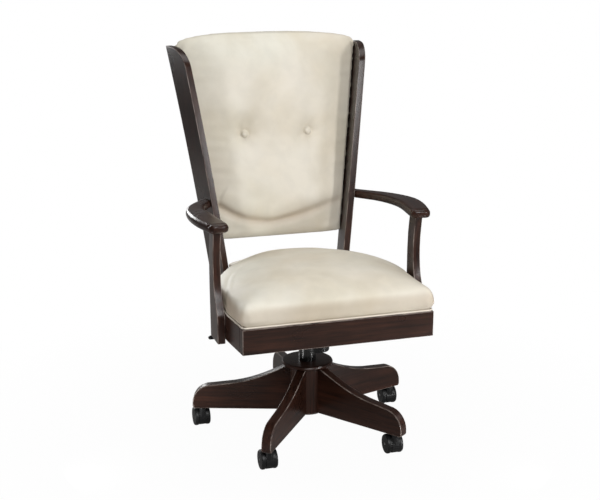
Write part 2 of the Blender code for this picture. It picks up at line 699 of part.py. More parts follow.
def build_mechanism(carriage, materials):
    """Housing on the cylinder, tilt shaft, torsion spring and lever pin."""
    plate_low = SEAT_BOTTOM - PLATE_THICKNESS
    front_top = plate_low - HOUSING_HEADROOM
    drop = (HOUSING_REAR - TILT_Y) * math.tan(TILT_LIMIT)
    rear_top = front_top - drop

    def rim(half, front, rear):
        return [(-half, front, front_top), (half, front, front_top), (half, TILT_Y, front_top),
                (half, rear, rear_top), (-half, rear, rear_top), (-half, TILT_Y, front_top)]

    def level(points, height):
        return [(x, y, height) for x, y, _ in points]

    wall = HOUSING_WALL
    outer = rim(HOUSING_HALF_WIDTH, HOUSING_FRONT, HOUSING_REAR)
    inner = rim(HOUSING_HALF_WIDTH - wall, HOUSING_FRONT + wall, HOUSING_REAR - wall)
    pan = loft([level(outer, HOUSING_BOTTOM), outer, inner, level(inner, HOUSING_BOTTOM + wall)])
    housing = add_piece("mechanism_housing", pan, materials["black_steel"], carriage)

    height = lever_height()
    ear_inner = LEVER_RADIUS + RUNNING_GAP
    ear_outer = ear_inner + 0.004
    ear_x = -HOUSING_HALF_WIDTH + wall / 2
    ear_reach = LEVER_PIVOT_X - 0.006
    ears = []
    for low, high in ((-ear_outer, -ear_inner), (ear_inner, ear_outer)):
        ears.append(block((ear_reach, low, height - 0.009), (ear_x, high, height + 0.005)))
    socket = rod(SOCKET_RADIUS, SOCKET_BOTTOM, SOCKET_TOP)
    use_tool(housing, add_tool("housing_joined", merged(socket, *ears), carriage), "UNION")

    bore = rod(CYLINDER_RADIUS + GAP, SOCKET_BOTTOM - 0.01, SOCKET_TOP + 0.01)
    shaft_hole = rod(SHAFT_RADIUS + RUNNING_GAP, -0.08, 0.08, (0.0, TILT_Y, TILT_Z), "X", SMALL_ROUND_STEPS)
    bolt_hole = rod(BOLT_RADIUS + RUNNING_GAP, HOUSING_BOTTOM - 0.01, HOUSING_BOTTOM + 0.01,
                    (0.0, KNOB_Y, 0.0), steps=SMALL_ROUND_STEPS)
    slot = block((-HOUSING_HALF_WIDTH - 0.001, -ear_inner - 0.001, height - 0.008),
                 (-HOUSING_HALF_WIDTH + 2 * wall, ear_inner + 0.001, front_top + 0.01))
    pin_hole = rod(0.0025 + RUNNING_GAP, -0.02, 0.02, (LEVER_PIVOT_X, 0.0, height), "Y", SMALL_ROUND_STEPS)
    use_tool(housing, add_tool("housing_cuts", merged(bore, shaft_hole, bolt_hole, slot, pin_hole), carriage))

    ear_plate = HOUSING_HALF_WIDTH + 2 * GAP + EAR_THICKNESS
    head = ear_plate + GAP
    shaft = [(0.0, -head - 0.003), (SHAFT_RADIUS * 1.7, -head - 0.003), (SHAFT_RADIUS * 1.7, -head),
             (SHAFT_RADIUS, -head), (SHAFT_RADIUS, head), (SHAFT_RADIUS * 1.7, head),
             (SHAFT_RADIUS * 1.7, head + 0.003), (0.0, head + 0.003)]
    add_piece("tilt_shaft", turn(shaft, SMALL_ROUND_STEPS, (0.0, TILT_Y, TILT_Z), "X"),
              materials["steel"], carriage, 35)

    coil = SHAFT_RADIUS + GAP + SPRING_WIRE_RADIUS + 0.0006
    points_per_turn = 8
    path = []
    for i in range(SPRING_TURNS * points_per_turn + 1):
        angle = 2 * math.pi * i / points_per_turn
        along = mix(-SPRING_HALF_LENGTH, SPRING_HALF_LENGTH, i / (SPRING_TURNS * points_per_turn))
        path.append((along, TILT_Y + coil * math.cos(angle), TILT_Z + coil * math.sin(angle)))
    add_piece("tension_spring", tube(path, SPRING_WIRE_RADIUS, 6), materials["steel"], carriage, 60)
    print(f"tension_spring: least gap to itself {1000 * least_coil_gap(path, points_per_turn):.2f} mm")
    pin_half = ear_outer + 0.0015
    add_piece("lever_pin", rod(0.0025, -pin_half, pin_half, (LEVER_PIVOT_X, 0.0, height), "Y", SMALL_ROUND_STEPS),
              materials["steel"], carriage, 35)


def build_knob(knob_frame, materials):
    """Tension knob with its bolt, under the front of the housing."""
    socket = BOLT_RADIUS + GAP
    socket_floor = KNOB_BOTTOM + 0.010
    edge = 0.004
    knob = [(0.0, KNOB_BOTTOM), (KNOB_RADIUS - edge, KNOB_BOTTOM), (KNOB_RADIUS - 0.0012, KNOB_BOTTOM + 0.0012),
            (KNOB_RADIUS, KNOB_BOTTOM + edge), (KNOB_RADIUS, KNOB_TOP - 0.002), (KNOB_RADIUS - 0.002, KNOB_TOP),
            (socket, KNOB_TOP), (socket, socket_floor), (0.0, socket_floor)]
    place = (0.0, KNOB_Y, 0.0)
    add_piece("tension_knob", turn(knob, ROUND_STEPS, place), materials["black_plastic"], knob_frame, 35)
    floor_top = HOUSING_BOTTOM + HOUSING_WALL + GAP
    bolt = [(0.0, socket_floor + GAP), (BOLT_RADIUS, socket_floor + GAP), (BOLT_RADIUS, floor_top),
            (BOLT_RADIUS * 1.8, floor_top), (BOLT_RADIUS * 1.8, floor_top + 0.006),
            (BOLT_RADIUS, floor_top + 0.006), (BOLT_RADIUS, floor_top + 0.022), (0.0, floor_top + 0.022)]
    add_piece("tension_bolt", turn(bolt, SMALL_ROUND_STEPS, place), materials["steel"], knob_frame, 35)


def build_lever(lever_frame, materials):
    """Height lever: a bent rod with a flat grip at its outer end."""
    height = lever_height()
    pin_end = BUTTON_PIN_RADIUS
    path = [(pin_end, 0.0, height), (LEVER_PIVOT_X * 0.5, 0.0, height), (LEVER_PIVOT_X, 0.0, height),
            (LEVER_PIVOT_X - 0.018, 0.0, height)]
    bend = Vector((LEVER_PIVOT_X - 0.036, -0.003, height - 0.002))
    tip = Vector((LEVER_TIP_X, LEVER_TIP_Y, LEVER_TIP_Z))
    share = (GRIP_START_X - bend.x) / (tip.x - bend.x)
    grip_start = bend.lerp(tip, share)
    path += [bend, bend.lerp(grip_start, 0.5), grip_start, grip_start.lerp(tip, 0.85)]
    rod_piece = add_piece("height_lever", tube(path, LEVER_RADIUS, 12), materials["black_steel"], lever_frame, 50)
    pin_hole = rod(0.0025 + RUNNING_GAP, -0.02, 0.02, (LEVER_PIVOT_X, 0.0, height), "Y", SMALL_ROUND_STEPS)
    use_tool(rod_piece, add_tool("lever_pin_cut", pin_hole, lever_frame))

    along = (tip - grip_start).normalized()
    flat = along.cross(Vector((0.0, 0.0, 1.0))).normalized()
    up = flat.cross(along)
    rings = []
    length = (tip - grip_start).length
    for share, size in ((0.0, 0.75), (0.12, 0.92), (0.45, 1.0), (0.85, 1.0), (0.96, 0.8), (1.0, 0.5)):
        middle = grip_start + along * length * share
        ring = []
        for k in range(16):
            angle = 2 * math.pi * k / 16
            ring.append(middle + flat * GRIP_HALF_WIDTH * size * math.cos(angle)
                        + up * GRIP_HALF_HEIGHT * mix(1.0, size, 0.6) * math.sin(angle))
        rings.append(ring)
    grip = add_piece("lever_grip", loft(rings), materials["black_plastic"], lever_frame, 60)
    socket = tube([path[-2] - along * 0.01, path[-1] + along * GAP], LEVER_RADIUS + GAP, 12)
    use_tool(grip, add_tool("grip_socket", socket, lever_frame))


def build_seat(seat, materials):
    """Mounting plate, four rails, board, cushion and welt."""
    plate_low = SEAT_BOTTOM - PLATE_THICKNESS
    plate = add_piece("seat_plate", block((-PLATE_HALF_WIDTH, PLATE_FRONT, plate_low),
                                          (PLATE_HALF_WIDTH, PLATE_REAR, SEAT_BOTTOM)),
                      materials["black_steel"], seat)
    ears = []
    for side in (-1, 1):
        inner = side * (HOUSING_HALF_WIDTH + GAP)
        outer = side * (HOUSING_HALF_WIDTH + GAP + EAR_THICKNESS)
        ears.append(block((min(inner, outer), TILT_Y - EAR_HALF_LENGTH, EAR_BOTTOM),
                          (max(inner, outer), TILT_Y + EAR_HALF_LENGTH, plate_low + 0.001)))
    use_tool(plate, add_tool("plate_ears", merged(*ears), seat), "UNION")
    shaft_hole = rod(SHAFT_RADIUS + RUNNING_GAP, -0.08, 0.08, (0.0, TILT_Y, TILT_Z), "X", SMALL_ROUND_STEPS)
    use_tool(plate, add_tool("plate_shaft_cut", shaft_hole, seat))

    side = seat_side()
    slope = (side[1] - side[0]) / (side[1].y - side[0].y)
    joint = side[0] + slope * RAIL_THICKNESS
    front = [Vector((-side[0].x, SEAT_FRONT)), side[0], joint, Vector((-joint.x, joint.y))]
    front_rail = add_piece("front_apron", slab(front, SEAT_BOTTOM, SEAT_RAIL_TOP), materials["wood"], seat)
    round_edges(front_rail, WOOD_ROUNDING)

    start = side[0] + slope * (RAIL_THICKNESS + GAP)
    outer_line = [start] + side[1:]
    inner_line = offset_line(outer_line, RAIL_THICKNESS)
    inner_line[0] = Vector((inner_line[0].x, start.y))
    rail = outer_line + list(reversed(inner_line))
    for label, outline in (("right", rail), ("left", mirrored(rail))):
        side_rail = add_piece(f"side_apron_{label}", slab(outline, SEAT_BOTTOM, SEAT_RAIL_TOP),
                              materials["wood"], seat)
        round_edges(side_rail, WOOD_ROUNDING, angle=50.0)

    rings = []
    for height in (SEAT_BOTTOM, SEAT_RAIL_TOP):
        ring = []
        for y in (REAR_RAIL_BACK - RAIL_THICKNESS, REAR_RAIL_BACK):
            ring.append((post_inner_x(height, y) - GAP / math.cos(POST_SPLAY), y, height))
        ring += [(-x, y, z) for x, y, z in reversed(ring)]
        rings.append(ring)
    rear_rail = add_piece("rear_apron", loft(rings), materials["wood"], seat)
    round_edges(rear_rail, 0.0015)

    board_low = SEAT_BOTTOM + GAP
    board_line = offset_line(outer_line, RAIL_THICKNESS + 2 * GAP)
    board_line[0] = Vector((board_line[0].x, start.y))
    neck = POST_FOOT[0] - 2 * GAP
    half_board = [p for p in board_line if p.x > neck + 0.004]
    neck_y = half_board[-1].y + (half_board[-1].x - neck)
    half_board += [Vector((neck, neck_y)), Vector((neck, REAR_RAIL_BACK - RAIL_THICKNESS - GAP))]
    board = half_board + mirrored(half_board)
    add_piece("seat_board", slab(board, board_low, board_low + SEAT_BOARD_THICKNESS), materials["plywood"], seat)

    build_seat_cushion(seat, materials)


def cushion_fall(y):
    """Share of the side height that the cushion keeps, lower towards the rear."""
    behind = min(1.0, max(0.0, (y - CUSHION_FALL_FROM) / (CUSHION_REAR - CUSHION_FALL_FROM)))
    return 1.0 - CUSHION_REAR_FALL * behind * behind * (3.0 - 2.0 * behind)


def build_seat_cushion(seat, materials):
    """Crowned cushion that drops into the rails, with a sewn welt round its foot."""
    deck = SEAT_BOTTOM + GAP + SEAT_BOARD_THICKNESS + GAP
    rail_top = SEAT_RAIL_TOP + GAP
    inside = RAIL_THICKNESS + 3 * GAP
    tucked = 2 * WELT_RADIUS + 3 * GAP
    welt_top = rail_top + 2 * WELT_RADIUS + GAP
    levels = [(inside, deck), (inside, rail_top), (tucked, rail_top), (tucked, welt_top),
              (0.0022, welt_top + 0.003), (0.0008, welt_top + 0.014), (0.0008, welt_top + 0.032),
              (0.0040, welt_top + 0.047), (0.0110, welt_top + 0.058)]
    side_height = levels[-1][1] - welt_top
    rings = []
    for inset, height in levels:
        ring = []
        for point in cushion_outline(inset):
            level = min(height, welt_top) + max(0.0, height - welt_top) * cushion_fall(point.y)
            ring.append((point.x, point.y, level))
        rings.append(ring)
    edge = [Vector(p) for p in rings[-1]]
    centre = Vector((0.0, CUSHION_CENTRE_Y))
    for share in (0.93, 0.82, 0.68, 0.50, 0.30):
        ring = []
        for point in edge:
            away = point.xy - centre
            angle = math.atan2(away.y, away.x)
            round_away = Vector((CUSHION_ROUND_X * math.cos(angle), CUSHION_ROUND_Y * math.sin(angle)))
            place = centre + away.lerp(round_away, 1.0 - share) * share
            rim_height = welt_top + side_height * cushion_fall(place.y)
            ring.append((place.x, place.y, mix(CUSHION_CROWN, rim_height, share ** 2.4)))
        rings.append(ring)
    shape = bmesh.new()
    rows = [[shape.verts.new(point) for point in ring] for ring in rings]
    count = len(rows[0])
    for lower, upper in zip(rows, rows[1:]):
        for i in range(count):
            j = (i + 1) % count
            shape.faces.new((lower[i], lower[j], upper[j], upper[i]))
    shape.faces.new(list(reversed(rows[0])))
    peak = shape.verts.new((centre.x, centre.y, CUSHION_CROWN))
    for i in range(count):
        shape.faces.new((rows[-1][i], rows[-1][(i + 1) % count], peak))
    add_piece("seat_cushion", shape, materials["leather"], seat, 60)

    line = cushion_outline(WELT_RADIUS + 2 * GAP)
    height = rail_top + WELT_RADIUS
    shape = bmesh.new()
    rows = []
    sides = 6
    for i, point in enumerate(line):
        before, after = line[i - 1], line[(i + 1) % len(line)]
        along = (after - before).normalized()
        across = Vector((-along.y, along.x))
        row = []
        for k in range(sides):
            angle = 2 * math.pi * (k + 0.5) / sides
            place = point + across * WELT_RADIUS * math.cos(angle)
            row.append(shape.verts.new((place.x, place.y, height + WELT_RADIUS * math.sin(angle))))
        rows.append(row)
    for i, row in enumerate(rows):
        following = rows[(i + 1) % len(rows)]
        for k in range(sides):
            m = (k + 1) % sides
            shape.faces.new((row[k], following[k], following[m], row[m]))
    add_piece("seat_welt", shape, materials["leather"], seat, 60)


def build_posts(seat, materials):
    """The two splayed side boards of the back, rounded at the top front."""
    heights = [mix(SEAT_BOTTOM, POST_TOP[2] - POST_ROUND_HEIGHT, i / 9) for i in range(10)]
    for step in range(1, 7):
        heights.append(POST_TOP[2] - POST_ROUND_HEIGHT + POST_ROUND_HEIGHT * math.sin(step * math.pi / 12))
    for side, label in ((1, "right"), (-1, "left")):
        rings = []
        for height in heights:
            rise = max(0.0, (height - POST_TOP[2] + POST_ROUND_HEIGHT) / POST_ROUND_HEIGHT)
            cut_back = POST_ROUND_DEPTH * (1.0 - math.sqrt(max(0.0, 1.0 - rise * rise)))
            near = post_inner_face(height, cut_back)
            far = post_inner_face(height, post_depth(height))
            thick = POST_OUTWARDS * POST_THICKNESS
            ring = [near, near + thick, far + thick, far]
            rings.append([(side * p.x, p.y, height) for p in ring])
        post = add_piece(f"back_post_{label}", loft(rings), materials["wood"], seat)
        round_edges(post, WOOD_ROUNDING, angle=50.0)


def build_back(seat, materials):
    """Rear cover, board, crowned cushion and its two buttons."""
    cover = BACK_COVER_THICKNESS
    board_rear = cover + GAP
    board_front = board_rear + BACK_BOARD_THICKNESS
    add_piece("back_cover", back_slab(cover, 0.0, 0.004, 9, 11), materials["leather"], seat)
    add_piece("back_board", back_slab(board_front, board_rear, 0.012, 5, 11), materials["plywood"], seat)

    cushion_rear = board_front + GAP
    tuft_across = TUFT_X / back_edge(TUFT_Z, cushion_rear).x
    tuft_step = tuft_across * BUTTON_RADIUS / TUFT_X
    tuft_up = (TUFT_Z - BACK_BOTTOM) / (back_top(tuft_across) - BACK_BOTTOM)
    tuft_rise = BUTTON_RADIUS / (back_top(tuft_across) - BACK_BOTTOM)
    half = [tuft_across * 0.30, tuft_across * 0.60, tuft_across - tuft_step, tuft_across,
            tuft_across + tuft_step, 0.60, 0.72, 0.82, 0.90, 0.96, 1.0]
    across_list = [-a for a in reversed(half)] + [0.0] + half
    up_list = [0.0, 0.015, 0.045, 0.09, 0.15, 0.22, 0.30, 0.38, 0.46, tuft_up - tuft_rise, tuft_up,
               tuft_up + tuft_rise, 0.63, 0.71, 0.79, 0.86, 0.92, 0.965, 0.99, 1.0]
    columns, rows = len(across_list), len(up_list)
    shape = bmesh.new()
    front = [[shape.verts.new(cushion_front(a, up)) for a in across_list] for up in up_list]
    border = [(j, 0) for j in range(rows)] + [(rows - 1, i) for i in range(1, columns)]
    border += [(j, columns - 1) for j in range(rows - 2, -1, -1)] + [(0, i) for i in range(columns - 2, 0, -1)]
    rim = []
    for j, i in border:
        height = mix(BACK_BOTTOM, back_top(across_list[i]), up_list[j])
        edge = back_edge(height, cushion_rear)
        rim.append(shape.verts.new((edge.x * across_list[i], edge.y, height)))
    for j in range(rows - 1):
        for i in range(columns - 1):
            shape.faces.new((front[j][i], front[j][i + 1], front[j + 1][i + 1], front[j + 1][i]))
    for k in range(len(border)):
        m = (k + 1) % len(border)
        a, b = front[border[k][0]][border[k][1]], front[border[m][0]][border[m][1]]
        shape.faces.new((a, b, rim[m], rim[k]))
    left = rim[:rows]
    top = rim[rows - 1:rows + columns - 1]
    right = list(reversed(rim[rows + columns - 2:2 * rows + columns - 2]))
    bottom = [left[0]] + list(reversed(rim[2 * rows + columns - 3:]))
    for j in range(1, rows - 2):
        shape.faces.new((left[j], left[j + 1], right[j + 1], right[j]))
    shape.faces.new(bottom + [right[1], left[1]])
    shape.faces.new([left[rows - 2], right[rows - 2]] + list(reversed(top)))
    add_piece("back_cushion", shape, materials["leather"], seat, 60)

    for side, label in ((1, "right"), (-1, "left")):
        places = []
        for da in (-1, 0, 1):
            for du in (-1, 0, 1):
                places.append(cushion_front(side * tuft_across + da * tuft_step, tuft_up + du * tuft_rise))
        lower, middle, upper = places[3], places[4], places[5]
        lean = math.atan2(upper.y - lower.y, upper.z - lower.z)
        turned = math.atan2(places[7].y - places[1].y, places[7].x - places[1].x)
        facing = Matrix.Rotation(turned, 3, "Z") @ Matrix.Rotation(math.pi / 2 - lean, 3, "X")
        normal = facing @ Vector((0.0, 0.0, 1.0))
        proud = max((place - middle).dot(normal) for place in places) + GAP
        width = BUTTON_RADIUS
        thick = BUTTON_THICKNESS
        profile = [(0.0, 0.0), (width * 0.8, 0.0), (width, thick * 0.35), (width * 0.85, thick * 0.75),
                   (width * 0.5, thick), (0.0, thick)]
        button = turn(profile, SMALL_ROUND_STEPS)
        bmesh.ops.rotate(button, verts=button.verts, matrix=facing)
        bmesh.ops.translate(button, verts=button.verts, vec=middle + normal * proud)
        add_piece(f"button_{label}", button, materials["leather"], seat, 60)


def build_arms(seat, materials):
    """Arms that sweep out from the side boards, and the shaped boards under them."""
    board = post_inner_face(ARM_POST_HEIGHT, ARM_JOINT_DEPTH)
    over = SUPPORT_INNER_X + SUPPORT_THICKNESS / 2
    line = [(board.x + 0.0020, board.y + 0.0168, 0.00, 0.038), (board.x + 0.0290, board.y - 0.0342, 0.10, 0.042),
            (mix(board.x, over, 0.873), board.y - 0.1072, 0.35, 0.048), (over + 0.0100, 0.0950, 0.65, 0.057),
            (over + 0.0160, 0.0150, 0.95, 0.064), (over + 0.0125, -0.0450, 1.00, 0.065),
            (over + 0.0050, -0.0900, 1.00, 0.062), (over - 0.0015, -0.1280, 1.00, 0.057)]
    line = [(x, y, mix(ARM_POST_HEIGHT, ARM_HEIGHT, share), width) for x, y, share, width in line]
    centres = smooth_path([p[:3] for p in line], 2)
    widths = [v.x for v in smooth_path([(p[3], 0.0, 0.0) for p in line], 2)]
    depths = [mix(ARM_THICKNESS, ARM_POST_THICKNESS, max(0.0, (p.y - 0.02) / 0.26)) for p in centres]
    nose = (centres[-1] - centres[-2]).normalized()
    for reach, rise, share in ((0.007, 0.0004, 0.97), (0.0125, 0.0012, 0.86), (0.0165, 0.0020, 0.66),
                               (0.0185, 0.0026, 0.36)):
        centres.append(Vector(line[-1][:3]) + nose * reach + Vector((0.0, 0.0, rise)))
        widths.append(line[-1][3] * share)
        depths.append(ARM_THICKNESS * share)

    up_step = 0.01
    face = board + POST_OUTWARDS * (POST_THICKNESS + GAP)
    above = (post_inner_face(ARM_POST_HEIGHT + up_step, ARM_JOINT_DEPTH)
             + POST_OUTWARDS * (POST_THICKNESS + GAP))
    rising = Vector((above.x - face.x, above.y - face.y, up_step))
    normal = Vector((*POST_BACKWARDS, 0.0)).cross(rising).normalized()
    face_point = Vector((face.x, face.y, ARM_POST_HEIGHT))
    for side, label in ((1, "right"), (-1, "left")):
        rings = []
        for i, (centre, width, depth) in enumerate(zip(centres, widths, depths)):
            before = centres[max(i - 1, 0)]
            after = centres[min(i + 1, len(centres) - 1)]
            along = Vector((after.x - before.x, after.y - before.y, 0.0)).normalized()
            across = Vector((-along.y, along.x, 0.0))
            ring = []
            for u, v in rounded_rectangle(width / 2, depth / 2, min(0.008, depth * 0.42), 2):
                place = centre + across * u + Vector((0.0, 0.0, v))
                ring.append((place.x, place.y, place.z))
            rings.append(ring)
        arm = loft(rings)
        cut = bmesh.ops.bisect_plane(arm, geom=arm.verts[:] + arm.edges[:] + arm.faces[:], dist=1e-6,
                                     plane_co=face_point, plane_no=normal, clear_outer=normal.x < 0,
                                     clear_inner=normal.x > 0)
        edges = [item for item in cut["geom_cut"] if isinstance(item, bmesh.types.BMEdge)]
        bmesh.ops.holes_fill(arm, edges=edges, sides=0)
        if side < 0:
            bmesh.ops.scale(arm, verts=arm.verts, vec=(-1.0, 1.0, 1.0))
        add_piece(f"arm_{label}", arm, materials["wood"], seat, 50)

        top = ARM_HEIGHT - ARM_THICKNESS / 2 - GAP
        front = [(SUPPORT_FOOT_FRONT, SUPPORT_BOTTOM), (SUPPORT_FOOT_FRONT, 0.400)]
        front += [tuple(p) for p in bezier([(SUPPORT_FOOT_FRONT, 0.415), (SUPPORT_FOOT_FRONT + 0.004, 0.440),
                                            (-0.118, 0.460), (-0.112, 0.500)], 6)]
        front += [(SUPPORT_WAIST_FRONT - 0.001, 0.530), (SUPPORT_WAIST_FRONT, 0.560),
                  (SUPPORT_WAIST_FRONT - 0.002, 0.590), (mix(SUPPORT_WAIST_FRONT, SUPPORT_TOP_FRONT, 0.55), 0.620),
                  (SUPPORT_TOP_FRONT, top)]
        back = [(SUPPORT_FOOT_BACK, SUPPORT_BOTTOM), (SUPPORT_FOOT_BACK + 0.003, 0.420),
                (SUPPORT_WAIST_BACK, 0.480), (SUPPORT_WAIST_BACK, 0.545), (SUPPORT_WAIST_BACK - 0.003, 0.595),
                (SUPPORT_TOP_BACK, top)]
        profile = front + list(reversed(back))
        inner = side * SUPPORT_INNER_X
        outer = side * (SUPPORT_INNER_X + SUPPORT_THICKNESS)
        shape = loft([[(inner, y, z) for y, z in profile], [(outer, y, z) for y, z in profile]])
        support = add_piece(f"arm_support_{label}", shape, materials["wood"], seat)
        round_edges(support, WOOD_ROUNDING, angle=50.0)


def rounded_rectangle(half_width, half_height, radius, steps):
    """Outline of a bar's section with rounded corners, anticlockwise."""
    radius = min(radius, half_width * 0.9, half_height * 0.9)
    points = []
    for corner, (sx, sy) in enumerate(((1, 1), (-1, 1), (-1, -1), (1, -1))):
        for step in range(steps + 1):
            angle = math.pi / 2 * (corner + step / steps)
            points.append((sx * (half_width - radius) + radius * math.cos(angle),
                           sy * (half_height - radius) + radius * math.sin(angle)))
    return points


def main():
    clear_scene()
    materials = {
        "wood": make_material("espresso_wood", (0.028, 0.014, 0.011), 0.38),
        "leather": make_material("cream_leather", (0.72, 0.68, 0.58), 0.55),
        "black_plastic": make_material("black_plastic", (0.012, 0.012, 0.013), 0.45),
        "black_steel": make_material("black_steel", (0.015, 0.015, 0.017), 0.28, 0.6),
        "steel": make_material("bright_steel", (0.55, 0.55, 0.56), 0.30, 1.0),
        "plywood": make_material("plywood", (0.42, 0.30, 0.18), 0.70),
    }
    chair = make_frame("chair", (0.0, 0.0, 0.0))
    swivel = make_frame("seat_swivel_axis", (0.0, 0.0, COLUMN_BOTTOM), chair)
    carriage = make_frame("lift_axis", (0.0, 0.0, SOCKET_BOTTOM), swivel)
    valve = make_frame("release_pin_axis", (0.0, 0.0, CYLINDER_TOP), carriage)
    seat = make_frame("tilt_axis", (0.0, TILT_Y, TILT_Z), carriage)
    knob = make_frame("tension_knob_axis", (0.0, KNOB_Y, KNOB_TOP), carriage)
    lever = make_frame("lever_axis", (LEVER_PIVOT_X, 0.0, lever_height()), carriage)

    build_base(chair, materials)
    for number in range(LEG_COUNT):
        build_caster(chair, materials, number)
    build_column(swivel, carriage, valve, materials)
    build_mechanism(carriage, materials)
    build_knob(knob, materials)
    build_lever(lever, materials)
    build_seat(seat, materials)
    build_posts(seat, materials)
    build_back(seat, materials)
    build_arms(seat, materials)


main()
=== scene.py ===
"""Looks of the desk chair: stained wood, mottled cream leather, black casters."""
import json
import math

import bmesh
import bpy
import numpy as np
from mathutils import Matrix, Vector

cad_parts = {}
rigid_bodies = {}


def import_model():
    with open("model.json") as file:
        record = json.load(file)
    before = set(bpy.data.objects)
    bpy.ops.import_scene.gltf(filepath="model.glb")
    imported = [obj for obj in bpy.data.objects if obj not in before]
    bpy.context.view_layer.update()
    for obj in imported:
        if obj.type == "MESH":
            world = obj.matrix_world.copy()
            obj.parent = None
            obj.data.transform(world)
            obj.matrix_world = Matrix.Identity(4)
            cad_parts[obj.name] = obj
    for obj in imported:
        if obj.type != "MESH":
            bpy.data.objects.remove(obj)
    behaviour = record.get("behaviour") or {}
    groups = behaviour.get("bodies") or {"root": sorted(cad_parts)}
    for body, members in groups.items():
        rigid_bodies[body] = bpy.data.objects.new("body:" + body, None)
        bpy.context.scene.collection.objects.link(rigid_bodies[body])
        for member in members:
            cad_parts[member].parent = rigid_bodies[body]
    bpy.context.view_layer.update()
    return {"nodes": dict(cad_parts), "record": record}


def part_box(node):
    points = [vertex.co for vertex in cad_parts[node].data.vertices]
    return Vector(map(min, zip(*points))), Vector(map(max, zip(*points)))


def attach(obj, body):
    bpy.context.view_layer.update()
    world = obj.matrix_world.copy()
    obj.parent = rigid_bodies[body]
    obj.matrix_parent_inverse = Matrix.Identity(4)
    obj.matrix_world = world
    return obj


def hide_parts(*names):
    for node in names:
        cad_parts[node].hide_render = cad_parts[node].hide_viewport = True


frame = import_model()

record_bodies = frame["record"]["behaviour"]["bodies"]
BODY_OF = {node: body for body, nodes in record_bodies.items() for node in nodes}

# Camera, measured against the photograph's outline of the chair
CAMERA_PLACE = (-0.9957, -3.1719, 1.4300)
CAMERA_AZIMUTH = math.radians(17.46)
CAMERA_PITCH = math.radians(15.18)
CAMERA_LENS = 70.722
CAMERA_SENSOR = 36.0

# Colours, linear
WOOD_DARK = (0.0150, 0.0056, 0.0034)
WOOD_RED = (0.0460, 0.0165, 0.0095)
# Lighter edge lines of the wood: edge wear, and painted highlight where lamps would catch rounded edges
WOOD_RUBBED_AND_SHEEN = (0.235, 0.190, 0.168)
LEATHER_LIGHT = (0.738, 0.700, 0.618)
LEATHER_SHADE = (0.662, 0.608, 0.504)
# Tint of painted shade on the seat's sides and front and along the lumbar fold
LEATHER_PAINTED_SHADE = (0.735, 0.660, 0.600)
WELT_LIGHT = (0.780, 0.715, 0.630)
WELT_SHADE = (0.690, 0.610, 0.520)
PLASTIC_BLACK = (0.0085, 0.0085, 0.0090)
STEEL_BLACK = (0.0080, 0.0078, 0.0080)
STEEL_BRIGHT = (0.52, 0.52, 0.53)
WOOD_GLOSS = 0.36
# Plywood kept dark, as painted shade where board edges show beside the cushions
PLY_LIGHT = (0.050, 0.032, 0.021)
PLY_DARK = (0.026, 0.016, 0.011)

# Folds of the seat cushion, in plan, and pleats by its front corners, in metres
SEAT_FOLD = ((0.284, -0.290), (0.278, -0.230), (0.266, -0.180), (0.238, -0.110), (0.200, -0.070),
             (0.160, -0.045), (0.110, -0.025))
SEAT_FOLD_DEPTH = 0.0035
SEAT_FOLD_WIDTH = 0.008
SEAT_FOLD_DROP = 0.004
PLEATS = ((0.010, 0.004, 0.0015), (0.022, 0.000, -0.0025), (0.002, 0.022, -0.0025))
PLEAT_WIDTH = 0.006
CORNER_FILL = 0.010
CORNER_FILL_REACH = 0.055
REAR_DROP = 0.0026        # how far the rear sinks, right of the middle
REAR_DROP_MIDDLE = 0.075
REAR_DROP_WIDTH = 0.075

# Lumbar fold of the back cushion, across and up, and the pull of its buttons
LUMBAR_FOLD = ((-0.200, 0.629), (-0.179, 0.6167), (-0.143, 0.596), (-0.099, 0.581), (-0.037, 0.571),
               (0.026, 0.581), (0.0915, 0.5975), (0.144, 0.610), (0.196, 0.617))
FOLD_DEPTH = 0.0090
FOLD_WIDTH = 0.013
FOLD_BULGE = 0.0030
FOLD_BULGE_AWAY = 0.040
FOLD_BULGE_WIDTH = 0.026
TUFT_PULL = 0.0050
TUFT_REACH = 0.024
RING_DEPTH = 0.0020
RING_RADIUS = 0.0125
RING_WIDTH = 0.0030
RAY_COUNT = 5.0
RAY_DEPTH = 0.0008
RAY_REACH = 0.026
RAY_WIDTH = 0.014

# Sides and top edge of the back cushion, in metres
SIDE_FILL = 0.005
EDGE_ROUND = 0.010
SIDE_TUCK = 0.007
TOP_DROP = 0.0028
LEVEL_REACH = 0.012       # how far from a level its points are measured

# Lighter edge lines of the wood, from edge wear and painted highlight, and noses of the arms, in metres
EDGE_LINE_WIDTH = 0.0030
NOSE_LENGTH = 0.019
NOSE_GROOVE = 0.0024
NOSE_GROOVE_WIDTH = 0.0042

# Steps of the cloth that blows the cushions up
CLOTH_STEPS = 20

# Light of the surroundings and how much of the white backdrop reflections show
ROOM_LIGHT = 0.12
MIRRORED_SHARE = 0.04

# Lamps: name, place, what it is aimed at, size, watts
SOFTBOXES = (
    ("key_softbox", (-0.25, -2.7, 2.10), (0.0, 0.0, 0.75), (1.4, 1.2), 61.0),
    ("top_softbox", (0.1, 0.3, 3.0), (0.0, 0.0, 0.5), (1.8, 1.6), 24.0),
    ("sheen_softbox", (1.6, -2.2, 1.2), (-0.1, 0.1, 0.85), (0.45, 0.75), 21.0),
    ("right_softbox", (2.6, -0.2, 1.45), (0.0, 0.0, 0.4), (0.8, 1.0), 2.5),
    ("column_strip_right", (0.516, -0.620, 0.062), (0.0, -0.077, 0.24), (0.06, 0.11), 1.0),
    ("column_strip_left", (-0.735, -0.227, 0.062), (0.0, -0.077, 0.24), (0.06, 0.11), 1.4),
    ("rear_softbox", (-0.9, 3.0, 1.3), (0.0, 0.2, 0.75), (1.4, 1.2), 46.0),
)


